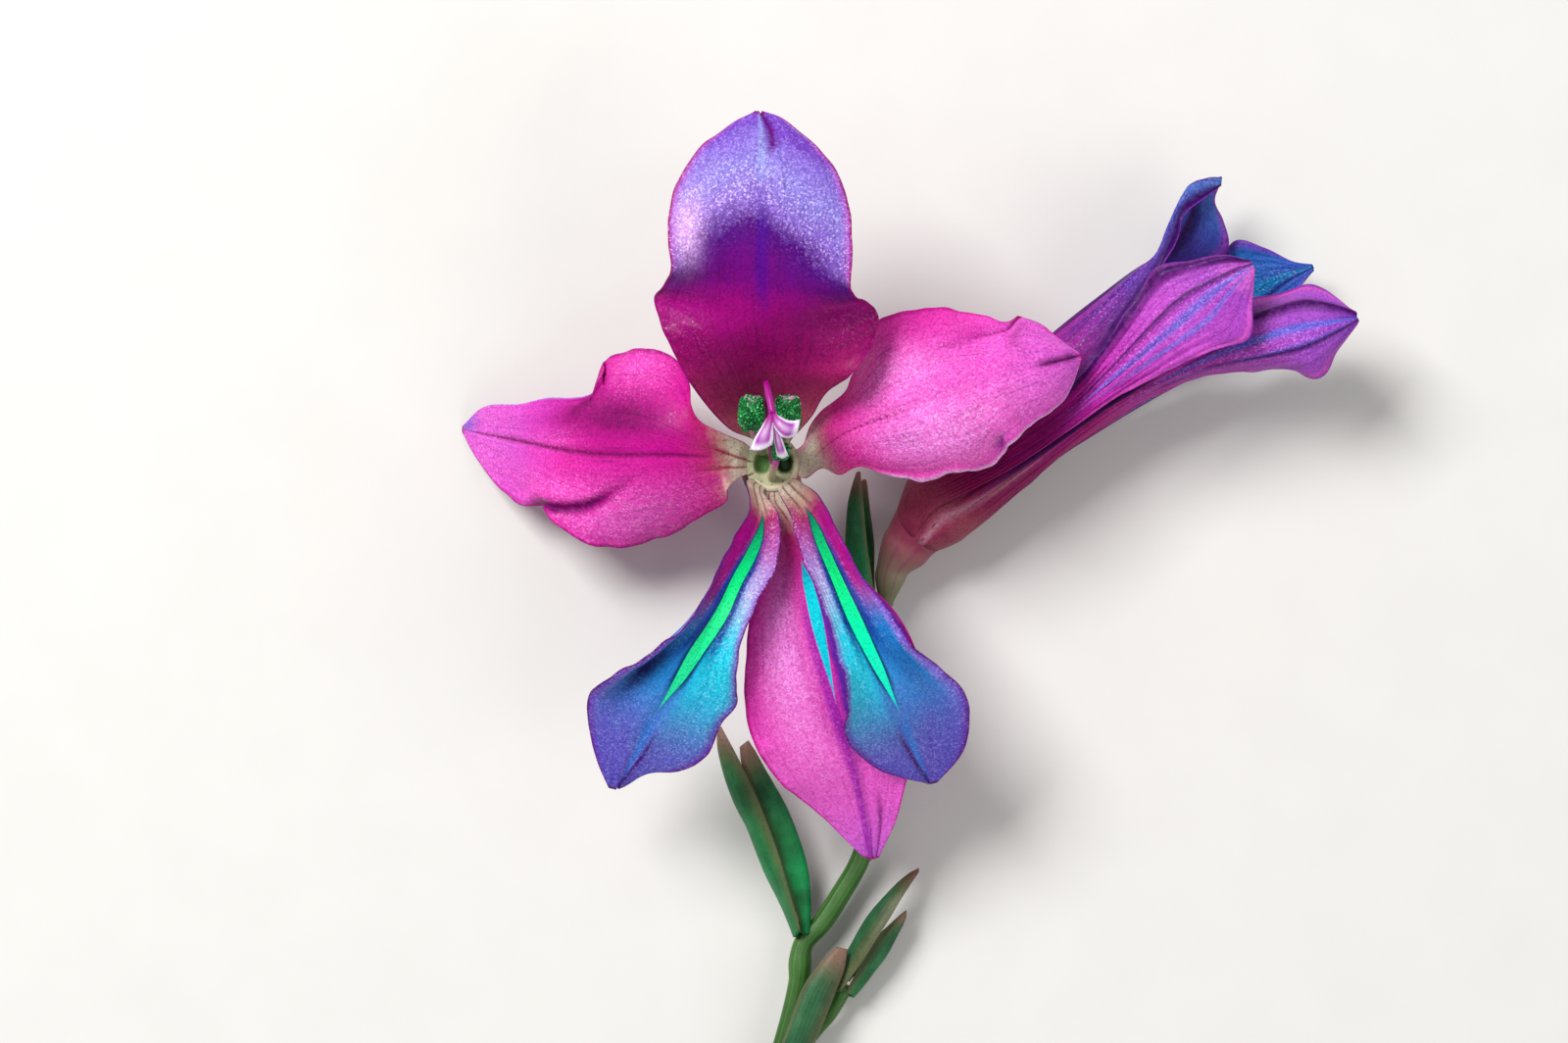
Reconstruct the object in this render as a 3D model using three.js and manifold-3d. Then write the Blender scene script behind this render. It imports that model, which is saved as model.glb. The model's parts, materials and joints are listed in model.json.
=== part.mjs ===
// Byzantine gladiolus: the cut end of a spike lying on a surface, with one flower open upwards,
// a second flower seen from its side, two young pods in their bracts, and the stem.
// Millimetres, +Z up. Points are measured from the middle of the spray, with z above the surface.
import * as THREE from "three";
import { mergeVertices } from "three/addons/utils/BufferGeometryUtils.js";
import Module from "manifold-3d";

// Driving dimensions
const BLADE = 0.62;
const RIM_WAVE = 0.3;
const RIM_WAVE_OF_SIDE_FLOWER = 0.1;
const RIM_WAVES = 3;
const RIM_FROM = 0.5;
const TEPAL_ROWS = 15;
const TEPAL_COLUMNS = 6;
const BRACT_ROWS = 8;
const BRACT_COLUMNS = 4;
const TUBE_WALL = 0.65;
const STEM_RADIUS = 0.95;
const TOP_RADIUS = 0.88;
const CUT_END_RADIUS = 1.25;
const CUT_END_SINK = 0.15;
const BRANCH_RADIUS = 0.75;
const FILAMENT_RADIUS = 0.34;
const ANTHER_RADIUS = 0.95;
const STYLE_RADIUS = 0.27;
const THROAT_SIDES = 14;
const ROUND_SIDES = 8;
const THIN_SIDES = 6;
const STEM_ROWS = 64;
const SURFACE_SIZE = 400;
const SURFACE_DEPTH = 10;

const wasm = await Module();
wasm.setup();

const plainMaterial = (color, roughness) => new THREE.MeshStandardMaterial({ color, roughness, metalness: 0 });
const materials = {
  magenta: plainMaterial(0xd63aa8, 0.5),
  pink: plainMaterial(0xe46ac0, 0.5),
  lilac: plainMaterial(0x8b78cf, 0.5),
  marked: plainMaterial(0x7a72c8, 0.5),
  violet: plainMaterial(0x9640b4, 0.5),
  throat: plainMaterial(0xa8a890, 0.6),
  bract: plainMaterial(0x3d9a68, 0.6),
  stem: plainMaterial(0x6f9450, 0.6),
  anther: plainMaterial(0x55a465, 0.8),
  stigma: plainMaterial(0xb05ac8, 0.6),
};

const spray = new THREE.Group();

function addPiece(name, geometry, material) {
  const mesh = new THREE.Mesh(geometry, material);
  mesh.name = name;
  spray.add(mesh);
}

function curveThrough(points) {
  const vectors = points.map(([x, y, z]) => new THREE.Vector3(x, y, z));
  return new THREE.CatmullRomCurve3(vectors, false, "centripetal");
}

// A closed solid from a grid of front points and a grid of back points, split alike on both faces.
function closedGrid(front, back, rows, columns) {
  const position = [...front, ...back].flatMap((p) => [p.x, p.y, p.z]);
  const shift = front.length;
  const at = (row, column) => row * (columns + 1) + column;
  const index = [];
  const quad = (a, b, c, d) => index.push(a, b, c, a, c, d);
  for (let row = 0; row < rows; row += 1) {
    for (let column = 0; column < columns; column += 1) {
      const [a, b, c, d] = [at(row, column), at(row, column + 1), at(row + 1, column + 1), at(row + 1, column)];
      index.push(a, b, c, a, c, d);
      index.push(a + shift, c + shift, b + shift, a + shift, d + shift, c + shift);
    }
  }
  for (let column = 0; column < columns; column += 1) {
    quad(at(0, column + 1), at(0, column), at(0, column) + shift, at(0, column + 1) + shift);
    quad(at(rows, column), at(rows, column + 1), at(rows, column + 1) + shift, at(rows, column) + shift);
  }
  for (let row = 0; row < rows; row += 1) {
    quad(at(row, 0), at(row + 1, 0), at(row + 1, 0) + shift, at(row, 0) + shift);
    quad(at(row + 1, columns), at(row, columns), at(row, columns) + shift, at(row + 1, columns) + shift);
  }
  const geometry = new THREE.BufferGeometry();
  geometry.setAttribute("position", new THREE.Float32BufferAttribute(position, 3));
  geometry.setIndex(index);
  return geometry;
}

// A blade is a sheet through its left edge, its rib and its right edge, waved near both edges.
function bladeGeometry({ left, rib, right }, wave, rows, columns) {
  const curves = [left, rib, right].map(curveThrough);
  const surface = [];
  for (let row = 0; row <= rows; row += 1) {
    const along = row / rows;
    const [a, b, c] = curves.map((curve) => curve.getPointAt(along));
    for (let column = 0; column <= columns; column += 1) {
      const across = (2 * column) / columns - 1;
      const point = new THREE.Vector3();
      point.addScaledVector(a, (across * (across - 1)) / 2);
      point.addScaledVector(b, 1 - across * across);
      point.addScaledVector(c, (across * (across + 1)) / 2);
      surface.push(point);
    }
  }
  const at = (row, column) => surface[row * (columns + 1) + column];
  const normalAt = (row, column) => {
    const up = at(Math.min(row + 1, rows), column).clone().sub(at(Math.max(row - 1, 0), column));
    const side = at(row, Math.min(column + 1, columns)).clone().sub(at(row, Math.max(column - 1, 0)));
    return side.cross(up).normalize();
  };
  const front = [];
  const back = [];
  for (let row = 0; row <= rows; row += 1) {
    const along = row / rows;
    for (let column = 0; column <= columns; column += 1) {
      const across = (2 * column) / columns - 1;
      const rim = Math.max(0, Math.abs(across) - RIM_FROM) / (1 - RIM_FROM);
      const turn = 2 * Math.PI * RIM_WAVES * along + across;
      const lift = wave * rim * rim * Math.sin(Math.PI * along) * Math.sin(turn);
      const normal = normalAt(row, column);
      const middle = at(row, column).clone().addScaledVector(normal, lift);
      front.push(middle.clone().addScaledVector(normal, BLADE / 2));
      back.push(middle.clone().addScaledVector(normal, -BLADE / 2));
    }
  }
  return closedGrid(front, back, rows, columns);
}

// A round body along a curve, whose radius follows a list of [share of the length, radius].
function roundGeometry(points, radii, sides, rows) {
  const curve = curveThrough(points);
  const frames = curve.computeFrenetFrames(rows, false);
  const radiusAt = (share) => {
    const next = Math.max(1, radii.findIndex(([limit]) => limit >= share));
    const [from, low] = radii[next - 1];
    const [to, high] = radii[next];
    return THREE.MathUtils.lerp(low, high, THREE.MathUtils.smoothstep(share, from, to));
  };
  const position = [];
  for (let row = 0; row <= rows; row += 1) {
    const centre = curve.getPointAt(row / rows);
    const radius = radiusAt(row / rows);
    for (let side = 0; side < sides; side += 1) {
      const angle = (2 * Math.PI * side) / sides;
      const point = centre.clone();
      point.addScaledVector(frames.normals[row], radius * Math.cos(angle));
      point.addScaledVector(frames.binormals[row], radius * Math.sin(angle));
      position.push(point.x, point.y, point.z);
    }
  }
  const start = curve.getPointAt(0);
  const end = curve.getPointAt(1);
  position.push(start.x, start.y, start.z, end.x, end.y, end.z);
  const startIndex = (rows + 1) * sides;
  const index = [];
  for (let side = 0; side < sides; side += 1) {
    const next = (side + 1) % sides;
    index.push(startIndex, next, side);
    index.push(startIndex + 1, rows * sides + side, rows * sides + next);
    for (let row = 0; row < rows; row += 1) {
      const [a, b] = [row * sides + side, row * sides + next];
      index.push(a, b, b + sides, a, b + sides, a + sides);
    }
  }
  const geometry = new THREE.BufferGeometry();
  geometry.setAttribute("position", new THREE.Float32BufferAttribute(position, 3));
  geometry.setIndex(index);
  return geometry;
}

function solidOf(geometry) {
  const bare = geometry.clone();
  bare.deleteAttribute("normal");
  bare.deleteAttribute("uv");
  const merged = mergeVertices(bare, 1e-4);
  const vertProperties = new Float32Array(merged.attributes.position.array);
  const triVerts = new Uint32Array(merged.index.array);
  return new wasm.Manifold(new wasm.Mesh({ numProp: 3, vertProperties, triVerts }));
}

function geometryOf(solid) {
  const mesh = solid.getMesh();
  const geometry = new THREE.BufferGeometry();
  geometry.setAttribute("position", new THREE.Float32BufferAttribute(mesh.vertProperties, 3));
  geometry.setIndex(new THREE.Uint32BufferAttribute(mesh.triVerts, 1));
  return geometry;
}

// Tepals of the open flower: the outer three lie behind the inner three.
const frontTepals = {
  front_tepal_upper: {
    material: "lilac",
    left: [[-3, 7.7, 13.9], [-5, 8.5, 17.5], [-7, 10.5, 21], [-8.8, 13, 24], [-10.8, 17, 25],
      [-11.6, 20.3, 23.5], [-10.2, 22.5, 28], [-10.5, 26, 28.5], [-9.7, 30, 27.5], [-7.4, 33.7, 27.5],
      [-4.6, 35.9, 26.5], [-2.7, 37, 26]],
    rib: [[-1.1, 8.4, 13.8], [-1.2, 11.1, 19], [-1.3, 14.2, 23.5], [-1.9, 18.5, 27.5], [-2.2, 23, 29.5],
      [-2, 28.6, 30], [-1.9, 33.6, 28.5], [-2.3, 37, 26]],
    right: [[0.8, 7.7, 13.9], [2.6, 9.7, 17.5], [3.8, 11.6, 21], [6, 13.2, 24], [8, 16, 23.5], [8.4, 19, 23],
      [6.1, 20.5, 28.5], [6.1, 23.7, 29], [5.8, 28, 28.5], [4.6, 31.8, 28], [2.3, 34.4, 27], [0, 36.2, 26.5],
      [-1.9, 37, 26]],
  },
  front_tepal_left: {
    material: "magenta",
    left: [[-4.4, 3.9, 13.5], [-5.2, 3, 14.5], [-5.3, 1.9, 13.5], [-7.8, 0.5, 12], [-10.5, -1.3, 9.5],
      [-14.5, -2.3, 8], [-18.4, -1.9, 8.5], [-21.5, -0.2, 9], [-23, 1.2, 8], [-24.8, 1.7, 4.5],
      [-27.7, 4, 2.5], [-29.8, 6.8, 1.1], [-30.7, 8.5, 0.24]],
    rib: [[-4.6, 5.5, 13.5], [-7.2, 6, 15.5], [-10.9, 6.2, 15.5], [-14.5, 6.2, 14], [-18.3, 6.4, 11.5],
      [-22.1, 7, 8.5], [-25.9, 7.8, 4.8], [-30.7, 8.8, 0.24]],
    right: [[-4.3, 7.2, 13.5], [-5.6, 8.15, 15], [-7.7, 9.25, 15.9], [-8.5, 10.6, 16], [-8.9, 13.3, 14.5],
      [-10.7, 15.5, 12.5], [-14.2, 15.9, 10.5], [-16.7, 15.2, 9], [-16.6, 13.5, 10.5], [-18.3, 11.9, 10],
      [-22.1, 11.6, 8], [-24.9, 11.1, 6], [-28.4, 10.9, 3], [-30.7, 9.1, 0.24]],
  },
  front_tepal_right: {
    material: "pink",
    left: [[1.9, 7.4, 13.5], [2.5, 9, 14.7], [3.5, 10.2, 16], [5.6, 11.9, 17], [6.9, 15.1, 17],
      [8.7, 18.4, 17.5], [11.3, 19.1, 18], [14.1, 19.7, 17.5], [17.6, 19.3, 17], [20.3, 18.3, 18], [21.9, 18.9, 16],
      [25.1, 17, 16], [27.3, 15.5, 16.5]],
    rib: [[2.5, 5.6, 13.5], [5.4, 8, 17], [11.2, 10.2, 20.5], [16.6, 11.8, 20.5], [22, 13.7, 19],
      [27.4, 15.3, 16.5]],
    right: [[2.2, 4.1, 13.5], [3.6, 4.9, 14.8], [5.1, 4.3, 15.2], [6.8, 5, 16.5], [9.5, 4.4, 16],
      [13.1, 4.3, 15.8], [15.8, 4.7, 17], [18.4, 4.6, 15.5], [20.3, 6.2, 15.8], [20.8, 7.3, 17.3],
      [23, 9.1, 16.5], [25.7, 10.9, 16], [26.9, 13.4, 16], [27.4, 15, 16.5]],
  },
  front_tepal_lower_left: {
    material: "marked",
    left: [[-1.8, 2.5, 13.8], [-0.3, 0.2, 18], [-0.6, -3.6, 21], [-2, -6.3, 22.5], [-3.4, -9.8, 23.5],
      [-4.2, -13.2, 23], [-4.35, -15.4, 21.5], [-4.4, -17, 20.5], [-5.6, -18.4, 19.5], [-7, -21.3, 17],
      [-9.2, -22.9, 15.5], [-12.7, -23.4, 14.5], [-14.6, -24.5, 13.3]],
    rib: [[-2.6, 2.9, 13.7], [-2, 0, 17], [-3.1, -3.2, 20], [-5, -6.2, 22], [-7.1, -9.9, 22.5],
      [-9.4, -14.1, 21.5], [-11.8, -17.6, 19.5], [-13.5, -21, 16.5], [-15.5, -24.8, 13]],
    right: [[-3.5, 3.6, 13.8], [-3.2, 1.1, 17.5], [-4.5, -1.6, 21], [-6.7, -5.25, 23.5], [-9.1, -9.15, 24.5],
      [-12.15, -11.8, 24], [-15.75, -13.8, 22], [-17.7, -15.5, 20], [-18, -18.6, 17.5], [-17.3, -22.1, 15],
      [-16.3, -24.7, 13.2]],
  },
  front_tepal_lower_right: {
    material: "marked",
    left: [[1.5, 3.7, 13.8], [3.4, 2.2, 17], [5.4, -1.8, 20], [7.1, -5, 22], [9.3, -7.7, 23], [11.7, -11.2, 23],
      [14.3, -13.4, 21.5], [16.5, -15.6, 19.5], [17, -18.6, 17.5], [16.4, -21.5, 15.5], [14.2, -24.2, 13.7]],
    rib: [[0.5, 2.9, 13.7], [2.2, 0.9, 16.5], [3.6, -2.5, 20], [5.5, -6.7, 22.8], [7.8, -11.8, 23.5],
      [9.4, -15, 22.5], [10.5, -17.3, 21], [11.9, -20.5, 17.5], [13.5, -24.3, 13.5]],
    right: [[-0.4, 2.5, 13.8], [0.7, 0.2, 18], [2.1, -4.3, 22.5], [4.1, -9.6, 25], [5.7, -14, 25.5],
      [5.8, -16.5, 24], [5.4, -18.6, 21.5], [6.3, -20.8, 19], [8.7, -22.9, 16.5], [11.3, -23.8, 15],
      [13, -24.2, 13.7]],
  },
  front_tepal_lower_middle: {
    material: "magenta",
    left: [[0.1, 1.7, 12.9], [3.6, -1.2, 14.5], [7.2, -5.1, 16.5], [10.4, -8.5, 17.5], [12.2, -12, 17.5],
      [12.9, -16.1, 17], [12.5, -20.2, 15], [11.3, -24.2, 13.8], [10.5, -27.6, 12], [9.6, -29.8, 10.7],
      [8.9, -31.4, 9.5]],
    rib: [[-1, 1.5, 12.9], [0.3, -1.2, 15], [1.6, -5.2, 17], [3.1, -10.6, 18], [5, -16.5, 17.5],
      [6.5, -21.5, 15.5], [7.5, -26.2, 12.5], [8.2, -31.6, 9.3]],
    right: [[-2.2, 1.7, 12.9], [-1.2, -2.5, 16], [-1.9, -4.5, 17], [-3.1, -8.5, 18.8], [-3.5, -11.9, 19.5],
      [-3.6, -15.5, 19.5], [-3, -19.8, 17.5], [-0.5, -23.9, 14.5], [3.7, -27.7, 11.5], [7.3, -31.3, 9.5]],
  },
};

// Tepals of the flower seen from its side, near ones towards +Z and far ones towards the surface.
const sideTepals = {
  side_tepal_upper: {
    left: [[12.4, 3.4, 7.4], [18.5, 7.6, 8.6], [24.3, 10.4, 9.6], [28.6, 13.6, 10.6], [32, 18.2, 11.4],
      [34.8, 22.6, 11.8], [36.3, 25.4, 11.5], [36.9, 26.9, 11], [37.2, 28.4, 10.5], [38.9, 29.9, 9.8],
      [40.9, 31.4, 9]],
    rib: [[11.9, 4, 5.6], [14.8, 8, 6.2], [18.6, 11.7, 6.9], [22.2, 14.6, 7.4], [25.7, 17.1, 7.9],
      [29.6, 20.3, 8.5], [33, 23.3, 9], [35.3, 25.1, 9.2], [36.4, 27.2, 9.3], [37.4, 29.3, 9.3],
      [38.2, 31.4, 9.1], [39.6, 32, 9], [41, 31.8, 8.8]],
    right: [[12.2, 3.6, 3.8], [17.6, 9.3, 3.8], [23.5, 14, 3.8], [29.7, 18.7, 4], [35.2, 22.3, 4.4],
      [39.8, 24, 5], [41.9, 25.5, 5.8], [41.3, 28.3, 6.8], [40.5, 30.1, 7.6], [41, 31.7, 8.5]],
  },
  side_tepal_upper_near: {
    left: [[14.3, 1.3, 9.3], [21, 4.8, 10.8], [26.4, 8.4, 12.5], [30.9, 11.5, 14], [35.3, 13.8, 15.5],
      [39.3, 15.7, 16.3], [42.8, 16.8, 17], [43.1, 20, 17.3], [43.3, 23.1, 17.6]],
    rib: [[13.2, 2.3, 9.1], [20.1, 5.9, 10.5], [25.1, 9, 12], [30, 13.1, 14], [34.4, 17.1, 15.8],
      [38.8, 20.7, 17], [43.1, 23.6, 17.6]],
    right: [[12.4, 3.2, 8.2], [19.2, 7.1, 9.8], [23.8, 9.8, 11], [27.8, 13.4, 12.6], [31.6, 18.8, 14.2],
      [34.6, 23.3, 15.3], [37.5, 24, 16.2], [40.6, 24.4, 17], [42.9, 23.9, 17.5]],
  },
  side_tepal_lower_near: {
    left: [[16.4, -1.3, 7.5], [18.4, 0.6, 7.2], [23.3, 4.2, 7.1], [27, 7.1, 7.4], [30.2, 9.1, 7.8],
      [34.7, 11.8, 8.6], [39, 13.6, 9.3], [43.3, 14.2, 10.2], [47.5, 13.9, 11.5], [49.9, 13.6, 13],
      [51.4, 15.7, 13.8], [52.4, 17.4, 14.2], [53.1, 18.7, 14.5]],
    rib: [[15.9, -0.6, 8.6], [23.9, 5.6, 9.5], [31, 10.9, 11.5], [38.2, 14.5, 13.5], [45.3, 16.6, 15],
      [49.8, 17.8, 15.3], [53.1, 18.8, 14.6]],
    right: [[15, 0.3, 9.2], [21.1, 4.3, 9], [26.6, 8.4, 10], [31.1, 11.9, 11], [35.6, 14.5, 11.8],
      [40.1, 18, 12], [43.6, 20.6, 12], [46.3, 21.4, 12], [48.9, 21.9, 12], [51.4, 20.7, 13.5],
      [52.9, 19.5, 14.4]],
  },
  side_tepal_lower_middle: {
    left: [[16.65, -1.45, 4.6], [23.2, 4.6, 3.6], [28.8, 8.8, 3.3], [35.3, 13, 3.5], [40.8, 15.6, 4.2],
      [45.4, 17.5, 5.2], [48.9, 19, 6.4], [51, 19.4, 7.3]],
    rib: [[16.8, -1.55, 5.6], [23.2, 4.2, 4.4], [28.8, 8.2, 4.1], [35.3, 12.2, 4.2], [40.8, 14.7, 4.8],
      [45.3, 16.3, 5.8], [51.1, 19, 7.5]],
    right: [[16.65, -1.45, 6.6], [22.7, 4, 5.8], [28.7, 8.2, 5.6], [35.1, 12.4, 6], [40.6, 14.9, 6.8],
      [45.1, 16.2, 7.5], [48.8, 17.6, 7.8], [50.6, 18.6, 8]],
  },
  side_tepal_lower_far: {
    left: [[15.2, 0.3, 2.1], [22.3, 6.2, 2.6], [28.8, 11.8, 2.7], [35.3, 18.3, 3], [40.7, 23.9, 3.7],
      [42.8, 26.6, 4.5], [45.4, 25.9, 4.8], [48.2, 24.5, 5], [49.8, 24.3, 5.2]],
    rib: [[16, -0.5, 2.7], [23.8, 5.3, 2.3], [30.8, 10.9, 1.9], [37.3, 15.8, 2.1], [43.2, 20.6, 3.2],
      [46.8, 22.9, 4.5], [50, 24.1, 5.2]],
    right: [[16.5, -1.3, 3.7], [24.2, 5, 2], [30.8, 9.8, 1.5], [37.3, 13.9, 1.7], [42.8, 17.2, 2.5],
      [46.5, 19.5, 3.5], [48.5, 21.8, 4.6], [50, 23.7, 5.2]],
  },
  side_tepal_upper_far: {
    left: [[12.7, 3.2, 2.9], [18.6, 7.6, 2.6], [24.2, 13.2, 2], [29.4, 17.9, 1.7], [34.1, 21.2, 1.5],
      [38.3, 23.2, 1.4], [41.8, 24.6, 1.6]],
    rib: [[13.5, 2.3, 2.2], [19.6, 6.5, 1.6], [25.2, 11.6, 0.9], [30.9, 16.6, 0.48], [35.5, 20.3, 0.43],
      [39.3, 22.6, 0.7], [42.2, 24.6, 1.5]],
    right: [[14.5, 1.3, 2], [21.5, 6.5, 1.2], [28, 12.3, 0.9], [33.7, 17, 0.62], [37.9, 20.3, 0.62],
      [40.6, 22.6, 0.9], [42.2, 24.1, 1.4]],
  },
};

for (const [name, tepal] of Object.entries(frontTepals)) {
  addPiece(name, bladeGeometry(tepal, RIM_WAVE, TEPAL_ROWS, TEPAL_COLUMNS), materials[tepal.material]);
}
for (const [name, tepal] of Object.entries(sideTepals)) {
  addPiece(name, bladeGeometry(tepal, RIM_WAVE_OF_SIDE_FLOWER, TEPAL_ROWS, TEPAL_COLUMNS), materials.violet);
}

// Bracts clasp the stem below each flower and pod.
const bracts = {
  pod_bract_outer: {
    left: [[1.5, -38.4, 5], [0.3, -34, 6.4], [-1.2, -29.4, 7], [-2.6, -25.8, 6.8], [-4.6, -21.8, 5.9],
      [-5.9, -19.4, 5.2]],
    rib: [[1.1, -39.4, 3.2], [-0.35, -36, 3.4], [-1.75, -33, 4], [-3.3, -29.2, 4.4], [-4.6, -26.5, 4.7],
      [-6.1, -21.6, 4.9], [-6.2, -19.3, 5]],
    right: [[0.9, -38.9, 1.4], [0.5, -35.8, 1.2], [-0.7, -31.7, 1.6], [-2.4, -26.8, 2.5], [-4.4, -23, 3.8],
      [-5.8, -19.8, 4.7]],
  },
  pod_bract_inner: {
    left: [[1.6, -37.2, 1.9], [1.2, -35.2, 2.2], [0.4, -31.9, 2.5], [-0.9, -28.2, 3.2], [-2.3, -24.9, 3.9],
      [-3.8, -21.2, 4.7]],
    rib: [[2.4, -36.9, 3.3], [2.25, -34.4, 3.7], [1.5, -30.8, 4], [0.3, -27.6, 4.4], [-1.25, -24.8, 4.7],
      [-3.4, -20.7, 4.9]],
    right: [[1.2, -37.2, 3.9], [-0.2, -34, 4.6], [-1.6, -29.6, 4.9], [-2.9, -26, 4.9], [-4, -23, 4.9],
      [-4.2, -21.3, 4.9]],
  },
  branch_bract: {
    left: [[-3.3, -57.2, 3.6], [-1.5, -52.7, 3.9], [0.3, -48, 4.3], [2, -43.7, 4.6], [3.6, -41.5, 4.7],
      [5, -40.2, 4.7]],
    rib: [[-2.4, -57.6, 4.1], [-0.9, -53.6, 4.7], [1.1, -49.2, 5.2], [3.1, -44.2, 5.2], [4.5, -42, 5],
      [5.5, -40.3, 4.8]],
    right: [[-1.5, -57.9, 3.6], [0.7, -53.7, 3.7], [3, -49, 4], [4.8, -44.8, 4.2], [5.7, -42.4, 4.5],
      [6, -40.4, 4.7]],
  },
  bud_bract_outer: {
    left: [[5.4, -44.5, 3.9], [7.9, -40.8, 5], [9.9, -37.6, 5], [11.4, -35.2, 4.5], [12.8, -33.2, 3.5]],
    rib: [[4.3, -44.7, 2.4], [6.3, -40.5, 3], [8.5, -37, 3.4], [10.7, -34.5, 3.4], [12.8, -32.9, 3.2]],
    right: [[4.9, -45, 1], [7.3, -41.1, 1.2], [9.3, -37.8, 1.6], [11.2, -35.1, 2.3], [12.8, -33.1, 3]],
  },
  bud_bract_inner: {
    left: [[6, -45.1, 1.6], [8, -42.2, 1.6], [9.4, -39.9, 1.8], [10.6, -38.2, 2.5], [11.5, -37.1, 3]],
    rib: [[6.5, -45.1, 2.7], [8.5, -42.6, 2.9], [10, -40.3, 3.1], [11.1, -38.3, 3.2], [11.6, -36.9, 3.2]],
    right: [[5.9, -44.6, 3.3], [7.5, -41.4, 3.7], [8.9, -39.2, 3.8], [10.3, -37.9, 3.7], [11.5, -36.9, 3.4]],
  },
  front_bract_outer: {
    left: [[3.2, -4.1, 5.7], [1.2, -2.7, 6.3], [-0.9, -0.5, 7.5], [-2.9, 1.8, 8.6], [-3.9, 5.5, 8.9]],
    rib: [[2.7, -3.6, 3.2], [1, -1.6, 4.2], [-1.4, 0.9, 5.6], [-3.3, 3.1, 7.2], [-4, 5.7, 8.6]],
    right: [[2.4, -2.2, 2.6], [0.3, 0.4, 3], [-2.3, 3, 4.5], [-4, 4.8, 6.5], [-4.2, 5.9, 8.2]],
  },
  side_bract_outer: {
    left: [[7.4, -8.9, 5.2], [6.3, -5.4, 5.2], [5.8, -1.7, 5.2], [6.1, 1.6, 5.4], [6.8, 4.6, 5.9]],
    rib: [[8.1, -8.9, 5.6], [7.2, -5.4, 6.2], [6.6, -1.7, 6.3], [6.6, 1.6, 6.2], [7, 4.7, 6.1]],
    right: [[8.9, -8.7, 5.6], [8.3, -5.4, 5.9], [7.8, -1.7, 6.4], [7.5, 1.6, 6.5], [7.2, 4.7, 6.2]],
  },
  side_bract_inner: {
    left: [[7.3, -8.2, 1.6], [6.3, -4.9, 1.7], [6.3, -1.7, 2.2], [6.8, 1.6, 3], [7.4, 3.9, 4]],
    rib: [[8, -8.4, 1.7], [7.5, -4.9, 1.9], [7.4, -1.7, 2.4], [7.4, 1.6, 3.2], [7.6, 4, 4]],
    right: [[8.7, -8.2, 1.8], [8.6, -4.9, 2.2], [8.5, -1.7, 2.8], [8.1, 1.6, 3.4], [7.8, 3.9, 4.1]],
  },
};
for (const [name, bract] of Object.entries(bracts)) {
  addPiece(name, bladeGeometry(bract, 0, BRACT_ROWS, BRACT_COLUMNS), materials.bract);
}

// Stem: it zigzags from node to node, forks once, and its cut end rests on a narrow flat.
const stemPath = [[-8, -120, CUT_END_RADIUS - CUT_END_SINK], [-8, -110, CUT_END_RADIUS - CUT_END_SINK],
  [-8.3, -95, 1.35], [-7, -78, 1.6], [-4, -62, 1.9], [-1.8, -55, 2.2], [-0.03, -49.5, 2.4], [1.35, -43.9, 2.5],
  [1.8, -40.2, 2.4], [3.6, -38.1, 2.5], [5.3, -35.5, 2.6], [7.4, -31.6, 2.8], [8.6, -24.9, 3.2],
  [8.7, -15.6, 3.4], [8.5, -9.3, 3.6], [6.4, -5.7, 3.9], [4.5, -3.8, 4.2]];
const branchPath = [[-4, -62, 1.9], [-2.3, -58.5, 1.7], [0, -53.9, 1.5], [2.3, -49.2, 1.5], [4.6, -46.4, 2.2]];
const stemSolid = solidOf(roundGeometry(stemPath,
  [[0, CUT_END_RADIUS], [0.12, CUT_END_RADIUS], [0.5, 1.05], [0.62, STEM_RADIUS], [1, TOP_RADIUS]],
  ROUND_SIDES, STEM_ROWS));
const branchRadii = [[0, BRANCH_RADIUS], [1, BRANCH_RADIUS]];
const branchSolid = solidOf(roundGeometry(branchPath, branchRadii, THIN_SIDES, 10));
const surface = new THREE.BoxGeometry(SURFACE_SIZE, SURFACE_SIZE, SURFACE_DEPTH);
surface.translate(0, 0, -SURFACE_DEPTH / 2);
addPiece("stem", geometryOf(stemSolid.add(branchSolid).subtract(solidOf(surface))), materials.stem);

// Pods: the swollen young fruits that the two lower pairs of bracts hold.
addPiece("pod_upper", roundGeometry([[1.15, -36.4, 3.15], [0, -32.6, 3.5]],
  [[0, 0.4], [0.5, 0.62], [1, 0.3]], ROUND_SIDES, 8), materials.bract);
addPiece("pod_lower", roundGeometry([[5.9, -43.5, 2.6], [9, -38.9, 2.7]],
  [[0, 0.4], [0.5, 0.75], [1, 0.3]], ROUND_SIDES, 8), materials.bract);

// Perianth tubes: each widens from the ovary to an open throat that the tepals stand round.
function tubeGeometry(axis, radii, throatFrom) {
  const outer = solidOf(roundGeometry(axis, radii, THROAT_SIDES, 10));
  const curve = curveThrough(axis);
  const inside = [];
  for (let step = 0; step <= 5; step += 1) {
    const share = THREE.MathUtils.lerp(throatFrom, 1, step / 5);
    inside.push(curve.getPointAt(share).toArray());
  }
  const past = curve.getPointAt(1).addScaledVector(curve.getTangentAt(1), 0.5);
  inside.push(past.toArray());
  const mouth = radii[radii.length - 1][1] - TUBE_WALL;
  const inner = solidOf(roundGeometry(inside, [[0, 0.5], [0.35, 1.1], [0.85, mouth], [1, mouth]],
    THROAT_SIDES, 6));
  return geometryOf(outer.subtract(inner));
}
const frontAxis = [[3, -2, 5.5], [1.8, 0.4, 7.2], [0, 3.4, 8.8], [-0.9, 5.1, 10.8], [-1.1, 5.5, 13.2]];
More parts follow.
